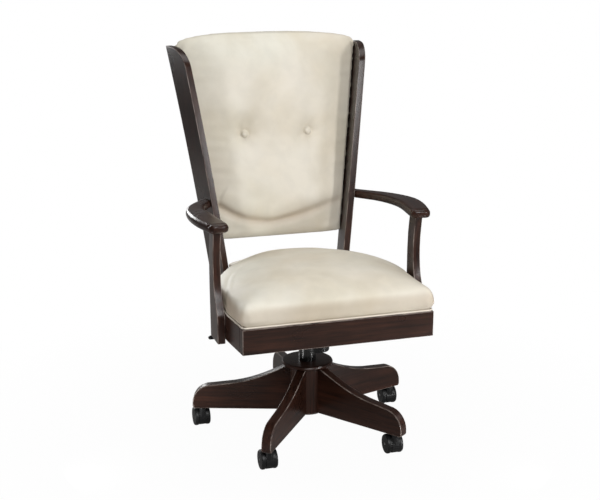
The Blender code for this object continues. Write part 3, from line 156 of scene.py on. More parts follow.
def work_on(*pieces):
    """Selects only these pieces, the last one active."""
    for other in bpy.context.scene.objects:
        other.select_set(False)
    for piece in pieces:
        piece.select_set(True)
    bpy.context.view_layer.objects.active = pieces[-1]


def apply_modifiers(piece):
    """Applies every modifier of a piece in order."""
    work_on(piece)
    for modifier in list(piece.modifiers):
        bpy.ops.object.modifier_apply(modifier=modifier.name)


def merged_copy(node, name):
    """A copy of a frame node as one connected mesh."""
    mesh = frame["nodes"][node].data.copy()
    mesh.name = name
    mesh.materials.clear()
    piece = bpy.data.objects.new(name, mesh)
    bpy.context.scene.collection.objects.link(piece)
    work_on(piece)
    bpy.ops.mesh.customdata_custom_splitnormals_clear()
    bpy.ops.object.mode_set(mode="EDIT")
    bpy.ops.mesh.select_all(action="SELECT")
    bpy.ops.mesh.remove_doubles(threshold=0.00002)
    bpy.ops.object.mode_set(mode="OBJECT")
    return piece


def finish_piece(piece, material, body, slot, *nodes):
    """Gives a piece its material and its body, and hides the nodes that it stands for."""
    piece.data.materials.clear()
    piece.data.materials.append(material)
    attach(piece, body)
    if nodes:
        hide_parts(*nodes)
    return piece


# Materials
def new_material(name):
    """An empty material with a Principled shader, as (material, tree, shader)."""
    material = bpy.data.materials.new(name)
    material.use_nodes = True
    tree = material.node_tree
    return material, tree, tree.nodes["Principled BSDF"]


def add(tree, kind, inputs=None, **settings):
    """Adds a node, sets its properties, and sets or links its inputs."""
    node = tree.nodes.new(kind)
    for key, value in settings.items():
        setattr(node, key, value)
    for key, value in (inputs or {}).items():
        if isinstance(value, bpy.types.NodeSocket):
            tree.links.new(value, node.inputs[key])
        else:
            node.inputs[key].default_value = value
    return node


def add_ramp(tree, factor, stops):
    """A colour ramp with (place, colour or grey) stops."""
    ramp = add(tree, "ShaderNodeValToRGB", {"Fac": factor})
    elements = ramp.color_ramp.elements
    while len(elements) < len(stops):
        elements.new(0.5)
    for element, (place, colour) in zip(elements, stops):
        element.position = place
        grey = isinstance(colour, (int, float))
        element.color = (colour, colour, colour, 1.0) if grey else (*colour, 1.0)
    return ramp.outputs["Color"]


def add_mix(tree, factor, first, second, blend="MIX"):
    """Mixes two colours."""
    node = add(tree, "ShaderNodeMix", data_type="RGBA", blend_type=blend)
    for index, value in ((0, factor), (6, first), (7, second)):
        if isinstance(value, bpy.types.NodeSocket):
            tree.links.new(value, node.inputs[index])
        elif isinstance(value, tuple):
            node.inputs[index].default_value = (*value, 1.0)
        else:
            node.inputs[index].default_value = value
    return node.outputs[2]


def add_math(tree, operation, *values):
    """One Math node on sockets or numbers."""
    node = add(tree, "ShaderNodeMath", operation=operation)
    for index, value in enumerate(values):
        if isinstance(value, bpy.types.NodeSocket):
            tree.links.new(value, node.inputs[index])
        else:
            node.inputs[index].default_value = value
    return node.outputs[0]


def new_group(name, inputs, outputs):
    """A shader node group with named sockets, as (group, tree input, tree output)."""
    group = bpy.data.node_groups.new(name, "ShaderNodeTree")
    for label, kind, default in inputs:
        socket = group.interface.new_socket(name=label, in_out="INPUT", socket_type=kind)
        if default is not None:
            socket.default_value = default
    for label, kind in outputs:
        group.interface.new_socket(name=label, in_out="OUTPUT", socket_type=kind)
    return group, group.nodes.new("NodeGroupInput"), group.nodes.new("NodeGroupOutput")


def use_group(tree, group, inputs):
    """Places a node group in a material."""
    return add(tree, "ShaderNodeGroup", inputs, node_tree=group)


def build_stain_group():
    """Stained wood with lighter edge lines from edge wear and painted highlight: colour, roughness and
    height along the grain.
    """
    group, given, result = new_group(
        "stained_wood",
        [("Vector", "NodeSocketVector", None), ("Rubbed and sheen", "NodeSocketFloat", 0.0)],
        [("Color", "NodeSocketColor"), ("Roughness", "NodeSocketFloat"), ("Height", "NodeSocketFloat")])
    place = given.outputs["Vector"]
    stretched = add(group, "ShaderNodeMapping", {"Vector": place, "Scale": (3.0, 60.0, 60.0)})
    fibres = add(group, "ShaderNodeTexNoise", {"Vector": stretched.outputs[0], "Scale": 2.2,
                                               "Detail": 5.0, "Roughness": 0.62})
    fine = add(group, "ShaderNodeMapping", {"Vector": place, "Scale": (12.0, 420.0, 420.0)})
    pores = add(group, "ShaderNodeTexNoise", {"Vector": fine.outputs[0], "Scale": 1.6, "Detail": 3.0})
    broad = add(group, "ShaderNodeTexNoise", {"Vector": place, "Scale": 7.0, "Detail": 2.0})
    tint = add_ramp(group, fibres.outputs[0], [(0.34, WOOD_DARK), (0.72, WOOD_RED)])
    cloud = add_ramp(group, broad.outputs[0], [(0.35, 0.80), (0.68, 1.20)])
    body = add_mix(group, 1.0, tint, cloud, "MULTIPLY")
    pore = add_ramp(group, pores.outputs[0], [(0.36, 0.72), (0.50, 1.0)])
    body = add_mix(group, 1.0, body, pore, "MULTIPLY")
    # Lighter edge lines: edge wear and painted highlight, broken up by noise
    line_breaks = add(group, "ShaderNodeTexNoise", {"Vector": place, "Scale": 26.0, "Detail": 4.0})
    edge_line_share = add_math(group, "MULTIPLY", given.outputs["Rubbed and sheen"],
                    add_ramp(group, line_breaks.outputs[0], [(0.34, 0.12), (0.60, 1.0)]))
    colour = add_mix(group, edge_line_share, body, WOOD_RUBBED_AND_SHEEN)
    rough = add_math(group, "ADD", 0.23, add_math(group, "MULTIPLY", broad.outputs[0], 0.12))
    rough = add_math(group, "ADD", rough, add_math(group, "MULTIPLY", edge_line_share, 0.08))
    group.links.new(colour, result.inputs["Color"])
    group.links.new(rough, result.inputs["Roughness"])
    group.links.new(pores.outputs[0], result.inputs["Height"])
    return group


def build_wood(group, name, turned=(0.0, 0.0, 0.0)):
    """Wood whose grain runs along the turned X axis."""
    material, tree, shader = new_material(name)
    coordinates = add(tree, "ShaderNodeTexCoord")
    along = add(tree, "ShaderNodeMapping", {"Vector": coordinates.outputs["Object"], "Rotation": turned})
    # Share of edge wear and painted highlight on each face
    rubbed_and_lit = add(tree, "ShaderNodeAttribute", attribute_name="edge_wear_and_sheen")
    stain = use_group(tree, group, {"Vector": along.outputs[0], "Rubbed and sheen": rubbed_and_lit.outputs["Fac"]})
    bump = add(tree, "ShaderNodeBump", {"Strength": 0.20, "Distance": 0.0004,
                                        "Height": stain.outputs["Height"]})
    tree.links.new(stain.outputs["Color"], shader.inputs["Base Color"])
    tree.links.new(stain.outputs["Roughness"], shader.inputs["Roughness"])
    tree.links.new(bump.outputs[0], shader.inputs["Normal"])
    shader.inputs["Specular IOR Level"].default_value = WOOD_GLOSS
    return material


def build_hide_group():
    """Softly mottled leather with painted shade where asked: colour, roughness and pebble height."""
    group, given, result = new_group(
        "mottled_leather",
        [("Vector", "NodeSocketVector", None), ("Light", "NodeSocketColor", None),
         ("Shade", "NodeSocketColor", None), ("Painted shade", "NodeSocketFloat", 0.0)],
        [("Color", "NodeSocketColor"), ("Roughness", "NodeSocketFloat"), ("Height", "NodeSocketFloat")])
    place = given.outputs["Vector"]
    broad = add(group, "ShaderNodeTexNoise", {"Vector": place, "Scale": 5.5, "Detail": 3.0,
                                              "Roughness": 0.5, "Distortion": 0.4})
    patch = add(group, "ShaderNodeTexNoise", {"Vector": place, "Scale": 21.0, "Detail": 3.0,
                                              "Roughness": 0.5, "Distortion": 0.3})
    warmth = add(group, "ShaderNodeTexNoise", {"Vector": place, "Scale": 3.1, "Detail": 1.0})
    share = add_ramp(group, broad.outputs[0], [(0.36, 0.0), (0.64, 1.0)])
    colour = add_mix(group, share, given.outputs["Shade"], given.outputs["Light"])
    light = add_ramp(group, patch.outputs[0], [(0.36, 0.965), (0.62, 1.02)])
    colour = add_mix(group, 1.0, colour, light, "MULTIPLY")
    tint = add_ramp(group, warmth.outputs[0], [(0.38, (1.0, 0.985, 0.965)), (0.62, (0.985, 1.0, 0.985))])
    colour = add_mix(group, 1.0, colour, tint, "MULTIPLY")
    # Painted shade: the colour is darkened by the given share
    colour = add_mix(group, given.outputs["Painted shade"], colour, LEATHER_PAINTED_SHADE, "MULTIPLY")
    pebbles = add(group, "ShaderNodeTexVoronoi", {"Vector": place, "Scale": 620.0, "Randomness": 1.0})
    creases = add(group, "ShaderNodeTexNoise", {"Vector": place, "Scale": 150.0, "Detail": 5.0,
                                                "Roughness": 0.6})
    height = add_math(group, "ADD", add_math(group, "MULTIPLY", pebbles.outputs["Distance"], 0.5),
                      creases.outputs[0])
    rough = add_math(group, "ADD", 0.46, add_math(group, "MULTIPLY", patch.outputs[0], 0.14))
    group.links.new(colour, result.inputs["Color"])
    group.links.new(rough, result.inputs["Roughness"])
    group.links.new(height, result.inputs["Height"])
    return group


def build_leather(group, name, light, shade, shift=(0.0, 0.0, 0.0)):
    """Cream leather between two colours, its mottling moved by a shift."""
    material, tree, shader = new_material(name)
    coordinates = add(tree, "ShaderNodeTexCoord")
    moved = add(tree, "ShaderNodeMapping", {"Vector": coordinates.outputs["Object"], "Location": shift})
    # Share of painted shade kept on each point of the leather
    painted_shade = add(tree, "ShaderNodeAttribute", attribute_name="painted_shade")
    hide = use_group(tree, group, {"Vector": moved.outputs[0], "Light": (*light, 1.0),
                                   "Shade": (*shade, 1.0), "Painted shade": painted_shade.outputs["Fac"]})
    bump = add(tree, "ShaderNodeBump", {"Strength": 0.22, "Distance": 0.0006,
                                        "Height": hide.outputs["Height"]})
    tree.links.new(hide.outputs["Color"], shader.inputs["Base Color"])
    tree.links.new(hide.outputs["Roughness"], shader.inputs["Roughness"])
    tree.links.new(bump.outputs[0], shader.inputs["Normal"])
    shader.inputs["Specular IOR Level"].default_value = 0.38
    return material


def build_moulded(name, colour, roughness, metallic=0.0, grain=420.0, depth=0.0002, gloss=0.5):
    """Moulded plastic or painted steel with a fine texture."""
    material, tree, shader = new_material(name)
    coordinates = add(tree, "ShaderNodeTexCoord")
    speckle = add(tree, "ShaderNodeTexNoise", {"Vector": coordinates.outputs["Object"], "Scale": grain,
                                               "Detail": 2.0})
    cloud = add(tree, "ShaderNodeTexNoise", {"Vector": coordinates.outputs["Object"], "Scale": 24.0,
                                             "Detail": 3.0})
    shade = add_ramp(tree, cloud.outputs[0], [(0.30, tuple(c * 0.75 for c in colour)),
                                              (0.70, tuple(min(1.0, c * 1.3) for c in colour))])
    rough = add_math(tree, "ADD", roughness - 0.05, add_math(tree, "MULTIPLY", cloud.outputs[0], 0.10))
    bump = add(tree, "ShaderNodeBump", {"Strength": 0.25, "Distance": depth, "Height": speckle.outputs[0]})
    tree.links.new(shade, shader.inputs["Base Color"])
    tree.links.new(rough, shader.inputs["Roughness"])
    tree.links.new(bump.outputs[0], shader.inputs["Normal"])
    shader.inputs["Metallic"].default_value = metallic
    shader.inputs["Specular IOR Level"].default_value = gloss
    return material


def build_plywood():
    """Plywood of the hidden seat and back boards, dark so that edges showing beside the cushions read as
    painted shade.
    """
    material, tree, shader = new_material("plywood_board")
    coordinates = add(tree, "ShaderNodeTexCoord")
    stretched = add(tree, "ShaderNodeMapping", {"Vector": coordinates.outputs["Object"],
                                                "Scale": (40.0, 4.0, 160.0)})
    grain = add(tree, "ShaderNodeTexNoise", {"Vector": stretched.outputs[0], "Scale": 1.5, "Detail": 5.0})
    tree.links.new(add_ramp(tree, grain.outputs[0], [(0.3, PLY_DARK), (0.7, PLY_LIGHT)]),
                   shader.inputs["Base Color"])
    shader.inputs["Roughness"].default_value = 0.7
    return material


# Points of a mesh
def point_places(mesh):
    """The places of all points, one row each."""
    places = np.empty(len(mesh.vertices) * 3)
    mesh.vertices.foreach_get("co", places)
    return places.reshape(-1, 3)


def point_normals(mesh):
    """The normals of all points, one row each."""
    return np.array([vertex.normal[:] for vertex in mesh.vertices])


def put_points(mesh, places):
    """Moves all points to new places."""
    mesh.vertices.foreach_set("co", np.ascontiguousarray(places).ravel())
    mesh.update()


def soft_step(values, low, high):
    """0 below low, 1 above high, and smooth between."""
    share = np.clip((values - low) / (high - low), 0.0, 1.0)
    return share * share * (3.0 - 2.0 * share)


def relax(piece, turns, weight=None, give_back=0.52):
    """Evens a mesh out: each turn averages, then gives back what averaging shrank."""
    mesh = piece.data
    places = point_places(mesh)
    edges = np.empty(len(mesh.edges) * 2, dtype=np.int64)
    mesh.edges.foreach_get("vertices", edges)
    first, second = edges.reshape(-1, 2).T
    count = len(places)
    meeting = np.bincount(edges, minlength=count)[:, None]
    share = np.ones((count, 1)) if weight is None else weight[:, None]
    for _ in range(turns):
        for step in (0.5, -give_back):
            near = np.stack([np.bincount(first, places[second, axis], count)
                             + np.bincount(second, places[first, axis], count) for axis in range(3)], axis=1)
            places = places + step * share * (near / meeting - places)
    put_points(mesh, places)


def path_through(corners, count=36):
    """Points of a smooth line through some corners."""
    corners = np.array(corners)
    padded = np.vstack([2 * corners[0] - corners[1], corners, 2 * corners[-1] - corners[-2]])
    points = []
    for place in np.linspace(0.0, len(corners) - 1.0001, count):
        index = int(place)
        share = place - index
        a, b, c, d = padded[index:index + 4]
        points.append(0.5 * (2 * b + (c - a) * share + (2 * a - 5 * b + 4 * c - d) * share ** 2
                             + (3 * b - a - 3 * c + d) * share ** 3))
    return np.array(points)


def nearest_on(flat, line):
    """Each flat point's distance from a line, its share along it, and its side of it."""
    best = np.full(len(flat), np.inf)
    along = np.zeros(len(flat))
    side = np.zeros(len(flat))
    for index, (start, end) in enumerate(zip(line[:-1], line[1:])):
        step = end - start
        share = np.clip(((flat - start) @ step) / (step @ step), 0.0, 1.0)
        gap = flat - (start + share[:, None] * step)
        distance = np.hypot(gap[:, 0], gap[:, 1])
        nearer = distance < best
        best[nearer] = distance[nearer]
        along[nearer] = (index + share[nearer]) / (len(line) - 1)
        side[nearer] = np.sign(step[0] * gap[:, 1] - step[1] * gap[:, 0])[nearer]
    return best, along, side


# Hard pieces
def mark_rubbed_and_highlit_edges(piece, rubbed_and_lit=None):
    """Marks the narrow faces of the rounded edges for lighter lines: stain thinned by wear, and painted
    highlight.

    rubbed says which of them to keep, by the middle of the face.
    """
    mesh = piece.data
    shape = bmesh.new()
    shape.from_mesh(mesh)
    shape.normal_update()
    edge_line_share = []
    for face in shape.faces:
        longest = max(edge.calc_length() for edge in face.edges)
        width = 2.0 * face.calc_area() / longest
        turn = 0.0
        for edge in face.edges:
            if len(edge.link_faces) == 2 and edge.calc_length() > 0.5 * longest:
                turn = max(turn, edge.calc_face_angle(0.0))
        share = min(1.0, max(0.0, (math.degrees(turn) - 12.0) / 10.0))
        narrow = width < EDGE_LINE_WIDTH and (rubbed_and_lit is None or rubbed_and_lit(face.calc_center_median()))
        edge_line_share.append(share if narrow else 0.0)
    shape.free()
    attribute = mesh.attributes.new("edge_wear_and_sheen", "FLOAT", "FACE")
    attribute.data.foreach_set("value", edge_line_share)


def smooth_copy(node, material, slot, angle=38.0, rubbed_and_lit=None):
    """Stands in for a frame node: the same shape, smooth over its rounded edges."""
    piece = merged_copy(node, f"{node}_finished")
    mark_rubbed_and_highlit_edges(piece, rubbed_and_lit)
    work_on(piece)
    bpy.ops.object.shade_smooth_by_angle(angle=math.radians(angle))
    weighted = piece.modifiers.new("Even", "WEIGHTED_NORMAL")
    weighted.keep_sharp = True
    weighted.weight = 80
    apply_modifiers(piece)
    return finish_piece(piece, material, BODY_OF[node], slot, node)


def softened_copy(node, material, slot, voxel=0.0020, turns=14):
    """Stands in for an arm: edges sanded round, faces crowned, a groove behind the rolled nose."""
    piece = merged_copy(node, f"{node}_finished")
    remesh = piece.modifiers.new("Even faces", "REMESH")
    remesh.mode = "VOXEL"
    remesh.voxel_size = voxel
    apply_modifiers(piece)
    relax(piece, turns, give_back=0.0)
    relax(piece, 4)
    places, normals = point_places(piece.data), point_normals(piece.data)
    behind = places[:, 1] - places[:, 1].min() - NOSE_LENGTH
    groove = NOSE_GROOVE * np.exp(-(behind / NOSE_GROOVE_WIDTH) ** 2) * soft_step(normals[:, 2], 0.0, 0.5)
    put_points(piece.data, places - normals * groove[:, None])
    work_on(piece)
    bpy.ops.object.shade_smooth()
    return finish_piece(piece, material, BODY_OF[node], slot, node)


def build_wooden_parts(stain):
    """Base, rails, side boards, arms and their supports."""
    upright = build_wood(stain, "wood_upright", (0.0, math.radians(90.0), 0.0))
    across = build_wood(stain, "wood_across")
    lengthwise = build_wood(stain, "wood_lengthwise", (0.0, 0.0, math.radians(90.0)))
    for node in ("hub", "back_post_left", "back_post_right", "arm_support_left", "arm_support_right"):
        smooth_copy(node, upright, "espresso_wood")
    # Lighter edge lines of wear and painted highlight: on the front rail only along its front face, on the
    # side rails only along their low edges behind it
    low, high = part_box("front_apron")
    smooth_copy("front_apron", across, "espresso_wood",
                rubbed_and_lit=lambda middle: middle.y < low.y + EDGE_LINE_WIDTH)
    for node in ("rear_apron", "hub_disc"):
        smooth_copy(node, across, "espresso_wood")
    for node in ("side_apron_left", "side_apron_right"):
        smooth_copy(node, lengthwise, "espresso_wood",
                    rubbed_and_lit=lambda middle: middle.z < low.z + EDGE_LINE_WIDTH and middle.y > high.y)
    for node in ("arm_left", "arm_right"):
        softened_copy(node, lengthwise, "espresso_wood")
    for number in range(1, 6):
        low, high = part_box(f"leg_{number}")
        column = Vector((0.0, cad_column_y()))
        middle = Vector(((low.x + high.x) / 2, (low.y + high.y) / 2)) - column
        radial = build_wood(stain, f"wood_leg_{number}", (0.0, 0.0, -math.atan2(middle.y, middle.x)))
        smooth_copy(f"leg_{number}", radial, "espresso_wood")


def cad_column_y():
    """Where the column axis stands."""
    low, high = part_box("column_tube")
    return (low.y + high.y) / 2


def build_running_gear():
    """Casters, column, mechanism, knob and lever."""
    plastic = build_moulded("caster_nylon", PLASTIC_BLACK, 0.40, gloss=0.30)
    painted = build_moulded("painted_steel", STEEL_BLACK, 0.22, 0.0, 260.0, 0.00002)
    chrome = build_moulded("bright_steel_finish", STEEL_BRIGHT, 0.28, 1.0, 300.0, 0.0001)
    for number in range(1, 6):
        for part in ("yoke", "wheel_left", "wheel_right"):
            smooth_copy(f"caster_{number}_{part}", plastic, "black_plastic")
        smooth_copy(f"caster_{number}_axle", chrome, "bright_steel")
    for node in ("tension_knob", "lever_grip", "guide_bushing"):
        smooth_copy(node, plastic, "black_plastic")
    for node in ("column_tube", "gas_cylinder", "mechanism_housing", "height_lever", "seat_plate"):
        smooth_copy(node, painted, "black_steel")
    for node in ("piston_rod", "release_pin", "tilt_shaft", "tension_spring", "lever_pin", "tension_bolt",
                 "thrust_bearing"):
        smooth_copy(node, chrome, "bright_steel")


# Upholstery
def inflate(piece, held, pressure, cap, voxel=0.006, draw_in=0.0):
    """Blows a closed pad up as cloth, and keeps each point within a cap of its start.

    held gives how firmly each point is held, from 0 to 1.
    """
    remesh = piece.modifiers.new("Even faces", "REMESH")
    remesh.mode = "VOXEL"
    remesh.voxel_size = voxel
    apply_modifiers(piece)
    relax(piece, 6)
    mesh = piece.data
    places = point_places(mesh)
    normals = point_normals(mesh)
    firm = held(places, normals)
    start = places - normals * draw_in * (1.0 - firm)[:, None]
    put_points(mesh, start)
    group = piece.vertex_groups.new(name="held")
    for index, value in enumerate(firm):
        group.add([index], float(value), "REPLACE")
    cloth = piece.modifiers.new("Cloth", "CLOTH")
    settings = cloth.settings
    settings.quality = 5
    settings.mass = 0.25
    settings.tension_stiffness = 12.0
    settings.compression_stiffness = 12.0
    settings.shear_stiffness = 6.0
    settings.bending_stiffness = 0.6
    settings.use_pressure = True
    settings.uniform_pressure_force = pressure
    settings.vertex_group_mass = "held"
    settings.pin_stiffness = 1.0
    settings.effector_weights.gravity = 0.0
    cloth.collision_settings.use_self_collision = False
    scene = bpy.context.scene
    cloth.point_cache.frame_start = 1
    cloth.point_cache.frame_end = CLOTH_STEPS
    for step in range(1, CLOTH_STEPS + 1):
        scene.frame_set(step)
    graph = bpy.context.evaluated_depsgraph_get()
    blown = point_places(piece.evaluated_get(graph).data)
    piece.modifiers.remove(cloth)
    scene.frame_set(1)
    move = blown - start
    far = np.linalg.norm(move, axis=1)
    move *= np.minimum(1.0, cap / np.maximum(far, 1e-9))[:, None]
    put_points(mesh, start + move)
    piece.vertex_groups.remove(group)


def paint_leather_shade(piece, amounts):
    """Keeps how much painted shade each point of the leather gets, from 0 to 1."""
    attribute = piece.data.attributes.new("painted_shade", "FLOAT", "POINT")
    attribute.data.foreach_set("value", np.clip(amounts, 0.0, 1.0))


def subdivide_smooth(piece):
    """One level of subdivision, applied, then smooth shading."""
    surface = piece.modifiers.new("Smooth", "SUBSURF")
    surface.levels = 1
    surface.render_levels = 1
    apply_modifiers(piece)
    work_on(piece)
    bpy.ops.object.shade_smooth()


def build_seat_cushion(leather):
    """Crowned seat cushion: full front, folds at the back corners, pleats at the front ones."""
    low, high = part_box("seat_cushion")
    rail_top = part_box("front_apron")[1].z
    piece = merged_copy("seat_cushion", "seat_cushion_soft")

    def held(places, normals):
        return 1.0 - soft_step(places[:, 2], rail_top + 0.004, rail_top + 0.030)

    inflate(piece, held, 4.0, 0.003)
    mesh = piece.data
    places = point_places(mesh)
    free = soft_step(places[:, 2], rail_top + 0.004, rail_top + 0.02)
    relax(piece, 20, free)
    from_ends = np.minimum(places[:, 1] - low.y, high.y - places[:, 1])
    from_rim = np.minimum(high.x - np.abs(places[:, 0]), from_ends)
    relax(piece, 90, free * soft_step(from_rim, 0.0, 0.05), give_back=0.0)
    corner = np.hypot(np.abs(places[:, 0]) - high.x, places[:, 1] - low.y)
    relax(piece, 10, free * (1.0 - soft_step(corner, 0.05, 0.12)), give_back=0.0)
    subdivide_smooth(piece)

    places, normals = point_places(mesh), point_normals(mesh)
    move = np.zeros(len(places))
    above = soft_step(places[:, 2], rail_top + 0.006, rail_top + 0.022)
    upwards = above * soft_step(normals[:, 2], -0.05, 0.25)
    for side in (-1, 1):
        line = path_through([(side * x, y) for x, y in SEAT_FOLD])
        away, along, across = nearest_on(places[:, :2], line)
        outside = np.where(across * side > 0, 1.0, 0.0)
        strength = soft_step(along, 0.0, 0.18) * soft_step(1.0 - along, 0.0, 0.45) * upwards
        move -= SEAT_FOLD_DEPTH * strength * np.exp(-(away / SEAT_FOLD_WIDTH) ** 2)
        fall = soft_step(away, 0.0, 0.020) * np.exp(-(away / 0.06) ** 2)
        move -= SEAT_FOLD_DROP * strength * outside * fall
        low_down = above * (1.0 - soft_step(places[:, 2], rail_top + 0.030, rail_top + 0.048))
        for x, y, lift in PLEATS:
            reach = np.hypot(places[:, 0] - side * (high.x - x), places[:, 1] - (low.y + y))
            move += lift * low_down * np.exp(-(reach / PLEAT_WIDTH) ** 2)
        reach = np.hypot(places[:, 0] - side * high.x, places[:, 1] - low.y)
        move += CORNER_FILL * above * np.exp(-(reach / CORNER_FILL_REACH) ** 2)
    places = places + normals * move[:, None]
    rear = np.exp(-((places[:, 0] - REAR_DROP_MIDDLE) / REAR_DROP_WIDTH) ** 2) \
        * soft_step(places[:, 1], -0.04, 0.05)
    places[:, 2] -= REAR_DROP * rear * upwards
    put_points(mesh, places)
    # Painted shade on the seat's upright sides and front, strongest on the sides
    upright = 1.0 - soft_step(normals[:, 2], 0.10, 0.75)
    side_share = soft_step(np.abs(normals[:, 0]) + normals[:, 1], -0.3, 0.3)
    paint_leather_shade(piece, upright * (0.62 + 0.38 * side_share))
    finish_piece(piece, leather, "seat", "cream_leather", "seat_cushion")
    return piece


def build_back_cushion(leather):
    """Back cushion: held at its rim and its two buttons, with a lumbar fold."""
    low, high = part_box("back_cushion")
    buttons = [sum(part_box(f"button_{side}"), Vector()) / 2 for side in ("left", "right")]
    piece = merged_copy("back_cushion", "back_cushion_soft")

    def near_button(places):
        return np.min([np.hypot(places[:, 0] - b.x, places[:, 2] - b.z) for b in buttons], axis=0)

    def held(places, normals):
        sewn = 1.0 - soft_step(near_button(places), 0.010, 0.030)
        rim = 1.0 - soft_step(-normals[:, 1], 0.25, 0.75)
        return np.maximum(sewn, rim)

    inflate(piece, held, 3.0, 0.004)
    mesh = piece.data
    relax(piece, 12)
    subdivide_smooth(piece)

    places, normals = point_places(mesh), point_normals(mesh)
    levels = np.linspace(low.z, high.z, 40)
    widest = [np.abs(places[np.abs(places[:, 2] - level) < LEVEL_REACH, 0]).max() for level in levels]
    out = np.abs(places[:, 0]) / np.interp(places[:, 2], levels, widest)
    fill = SIDE_FILL * soft_step(out, 0.35, 0.85)
    fill *= soft_step(-normals[:, 1], 0.05, 0.45) * soft_step(high.z - places[:, 2], 0.0, 0.08)
    places[:, 1] -= fill
    aside = np.abs(places[:, 0])
    front, wall = [], []
    for level, wide in zip(levels, widest):
        near = np.abs(places[:, 2] - level) < LEVEL_REACH
        front.append(places[near & (aside > 0.42 * wide) & (aside < 0.50 * wide), 1].min())
        wall.append(places[near & (aside > 0.975 * wide), 1].min())
    evened = [np.convolve(np.pad(line, 3, mode="edge"), np.full(7, 1.0 / 7.0), mode="valid")
              for line in (front, wall)]
    front, wall = (np.interp(places[:, 2], levels, line) for line in evened)
    beyond = (aside - np.interp(places[:, 2], levels, widest)) / EDGE_ROUND + 1.0
    slope = np.clip((out - 0.46) / 0.50, 0.0, 1.0) ** 1.35
    flat = front + (wall - SIDE_TUCK - front) * slope \
        + EDGE_ROUND * (1.0 - np.sqrt(1.0 - np.clip(beyond, 0.0, 1.0) ** 2))
    share = soft_step(out, 0.40, 0.70) * soft_step(wall - places[:, 1], -0.003, 0.006)
    share *= soft_step(high.z - places[:, 2], 0.012, 0.06) * soft_step(places[:, 2] - low.z, 0.010, 0.04)
    places[:, 1] += share * (flat - places[:, 1])
    places[:, 2] -= TOP_DROP * soft_step(places[:, 2], high.z - 0.035, high.z - 0.006) \
        * soft_step(places[:, 0], -0.14, -0.04)
    put_points(mesh, places)
    relax(piece, 9, give_back=0.5)

    places, normals = point_places(mesh), point_normals(mesh)
    facing = soft_step(-normals[:, 1], 0.35, 0.70)
    move = np.zeros(len(places))
    from_fold, along, across = nearest_on(places[:, (0, 2)], path_through(LUMBAR_FOLD))
    ends = soft_step(along, 0.0, 0.06) * (1.0 - 0.55 * soft_step(along, 0.62, 1.0))
    over = np.where(across > 0, 1.0, 0.0)
    move -= FOLD_DEPTH * ends * np.exp(-(from_fold / FOLD_WIDTH) ** 2)
    move += FOLD_BULGE * ends * over \
        * np.exp(-((from_fold - FOLD_BULGE_AWAY) / FOLD_BULGE_WIDTH) ** 2)
    reach = near_button(places)
    move -= TUFT_PULL * np.exp(-(np.maximum(reach - 0.010, 0.0) / TUFT_REACH) ** 1.3)
    move -= RING_DEPTH * np.exp(-((reach - RING_RADIUS) / RING_WIDTH) ** 2)
    for button in buttons:
        aside, up = places[:, 0] - button.x, places[:, 2] - button.z
        away = np.hypot(aside, up)
        angle = np.arctan2(up, aside)
        rays = np.cos(RAY_COUNT * angle + 0.6) * np.exp(-((away - RAY_REACH) / RAY_WIDTH) ** 2)
        move -= RAY_DEPTH * rays
    put_points(mesh, places + normals * (facing * move)[:, None])
    # Painted shade along the lumbar fold, where it turns under
    paint_leather_shade(piece, 0.75 * ends * facing * np.exp(-((from_fold - over * 0.004) / 0.016) ** 2))
    finish_piece(piece, leather, "seat", "cream_leather", "back_cushion")
    return piece


def build_upholstery(hide):
    """All that is covered in leather."""
    leather = build_leather(hide, "leather_seat", LEATHER_LIGHT, LEATHER_SHADE)
    back = build_leather(hide, "leather_back", LEATHER_LIGHT, LEATHER_SHADE, (0.37, 0.21, 0.11))
    piping = build_leather(hide, "leather_welt", WELT_LIGHT, WELT_SHADE)
    build_seat_cushion(leather)
    build_back_cushion(back)
    smooth_copy("seat_welt", piping, "cream_leather", 60.0)
    smooth_copy("back_cover", back, "cream_leather", 50.0)
    for side in ("left", "right"):
        smooth_copy(f"button_{side}", back, "cream_leather", 60.0)


def build_boards():
    """The hidden plywood boards."""
    plywood = build_plywood()
    for node in ("seat_board", "back_board"):
        smooth_copy(node, plywood, "plywood")


# Stage
def build_camera():
    """The photograph's viewpoint."""
    data = bpy.data.cameras.new("photo_camera")
    data.lens = CAMERA_LENS
    data.sensor_width = CAMERA_SENSOR
    data.clip_end = 60.0
    camera = bpy.data.objects.new("photo_camera", data)
    bpy.context.scene.collection.objects.link(camera)
    looking = Vector((math.sin(CAMERA_AZIMUTH) * math.cos(CAMERA_PITCH),
                      math.cos(CAMERA_AZIMUTH) * math.cos(CAMERA_PITCH), -math.sin(CAMERA_PITCH)))
    camera.location = CAMERA_PLACE
    camera.rotation_mode = "QUATERNION"
    camera.rotation_quaternion = looking.to_track_quat("-Z", "Y")
    bpy.context.scene.camera = camera


def backdrop_share(tree):
    """1 for what the camera or a transmission sees, a share for reflections, else 0."""
    path = add(tree, "ShaderNodeLightPath")
    mirrored = add_math(tree, "MULTIPLY", path.outputs["Is Glossy Ray"], MIRRORED_SHARE)
    seen = add_math(tree, "MAXIMUM", path.outputs["Is Camera Ray"], path.outputs["Is Transmission Ray"])
    return add_math(tree, "MAXIMUM", seen, mirrored)


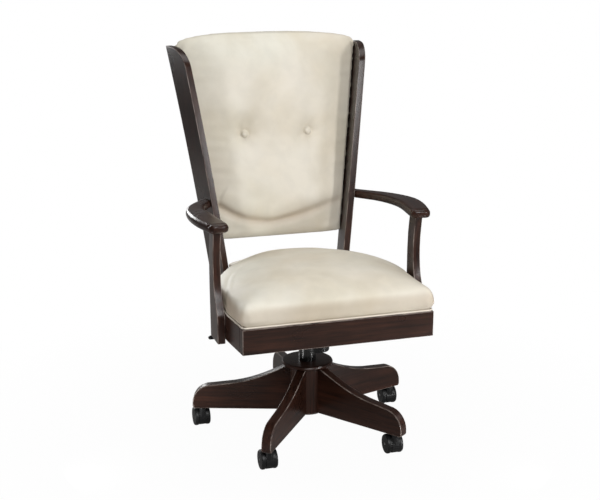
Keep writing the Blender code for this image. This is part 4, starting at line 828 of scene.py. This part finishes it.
def build_floor():
    """A pale floor that keeps the chair's soft shadow and fades to white."""
    bpy.ops.mesh.primitive_plane_add(size=80.0, location=(0.0, 0.0, 0.0))
    floor = bpy.context.object
    floor.name = "studio_floor"
    material = bpy.data.materials.new("pale_floor")
    material.use_nodes = True
    tree = material.node_tree
    tree.nodes.clear()
    coordinates = add(tree, "ShaderNodeTexCoord")
    away = add(tree, "ShaderNodeVectorMath", {0: coordinates.outputs["Object"]}, operation="LENGTH")
    faded = add(tree, "ShaderNodeMapRange", {"Value": away.outputs["Value"], "From Min": 0.35,
                                             "From Max": 1.2, "To Min": 0.972, "To Max": 1.0})
    share = add_math(tree, "MULTIPLY", faded.outputs[0], backdrop_share(tree))
    matt = add(tree, "ShaderNodeBsdfDiffuse", {"Color": (0.36, 0.35, 0.34, 1.0)})
    white = add(tree, "ShaderNodeEmission", {"Color": (1.0, 1.0, 1.0, 1.0), "Strength": 1.0})
    both = add(tree, "ShaderNodeMixShader", {0: share, 1: matt.outputs[0], 2: white.outputs[0]})
    out = add(tree, "ShaderNodeOutputMaterial")
    tree.links.new(both.outputs[0], out.inputs["Surface"])
    floor.data.materials.append(material)


def build_world():
    """Plain white surroundings that light the chair softly."""
    world = bpy.data.worlds.new("studio")
    bpy.context.scene.world = world
    world.use_nodes = True
    tree = world.node_tree
    background = tree.nodes["Background"]
    background.inputs["Color"].default_value = (1.0, 1.0, 1.0, 1.0)
    strength = add(tree, "ShaderNodeMapRange", {"Value": backdrop_share(tree), "To Min": ROOM_LIGHT,
                                                "To Max": 1.0})
    tree.links.new(strength.outputs[0], background.inputs["Strength"])


def add_softbox(name, place, aim, size, power):
    """One soft rectangular lamp."""
    data = bpy.data.lights.new(name, "AREA")
    data.shape = "RECTANGLE"
    data.size, data.size_y = size
    data.energy = power
    lamp = bpy.data.objects.new(name, data)
    bpy.context.scene.collection.objects.link(lamp)
    lamp.location = place
    lamp.rotation_mode = "QUATERNION"
    lamp.rotation_quaternion = (Vector(aim) - Vector(place)).to_track_quat("-Z", "Y")


def build_stage():
    """Camera, floor, surroundings and lamps."""
    build_camera()
    build_floor()
    build_world()
    for softbox in SOFTBOXES:
        add_softbox(*softbox)
    view = bpy.context.scene.view_settings
    view.view_transform = "Standard"


build_stage()
build_wooden_parts(build_stain_group())
build_running_gear()
build_boards()
build_upholstery(build_hide_group())
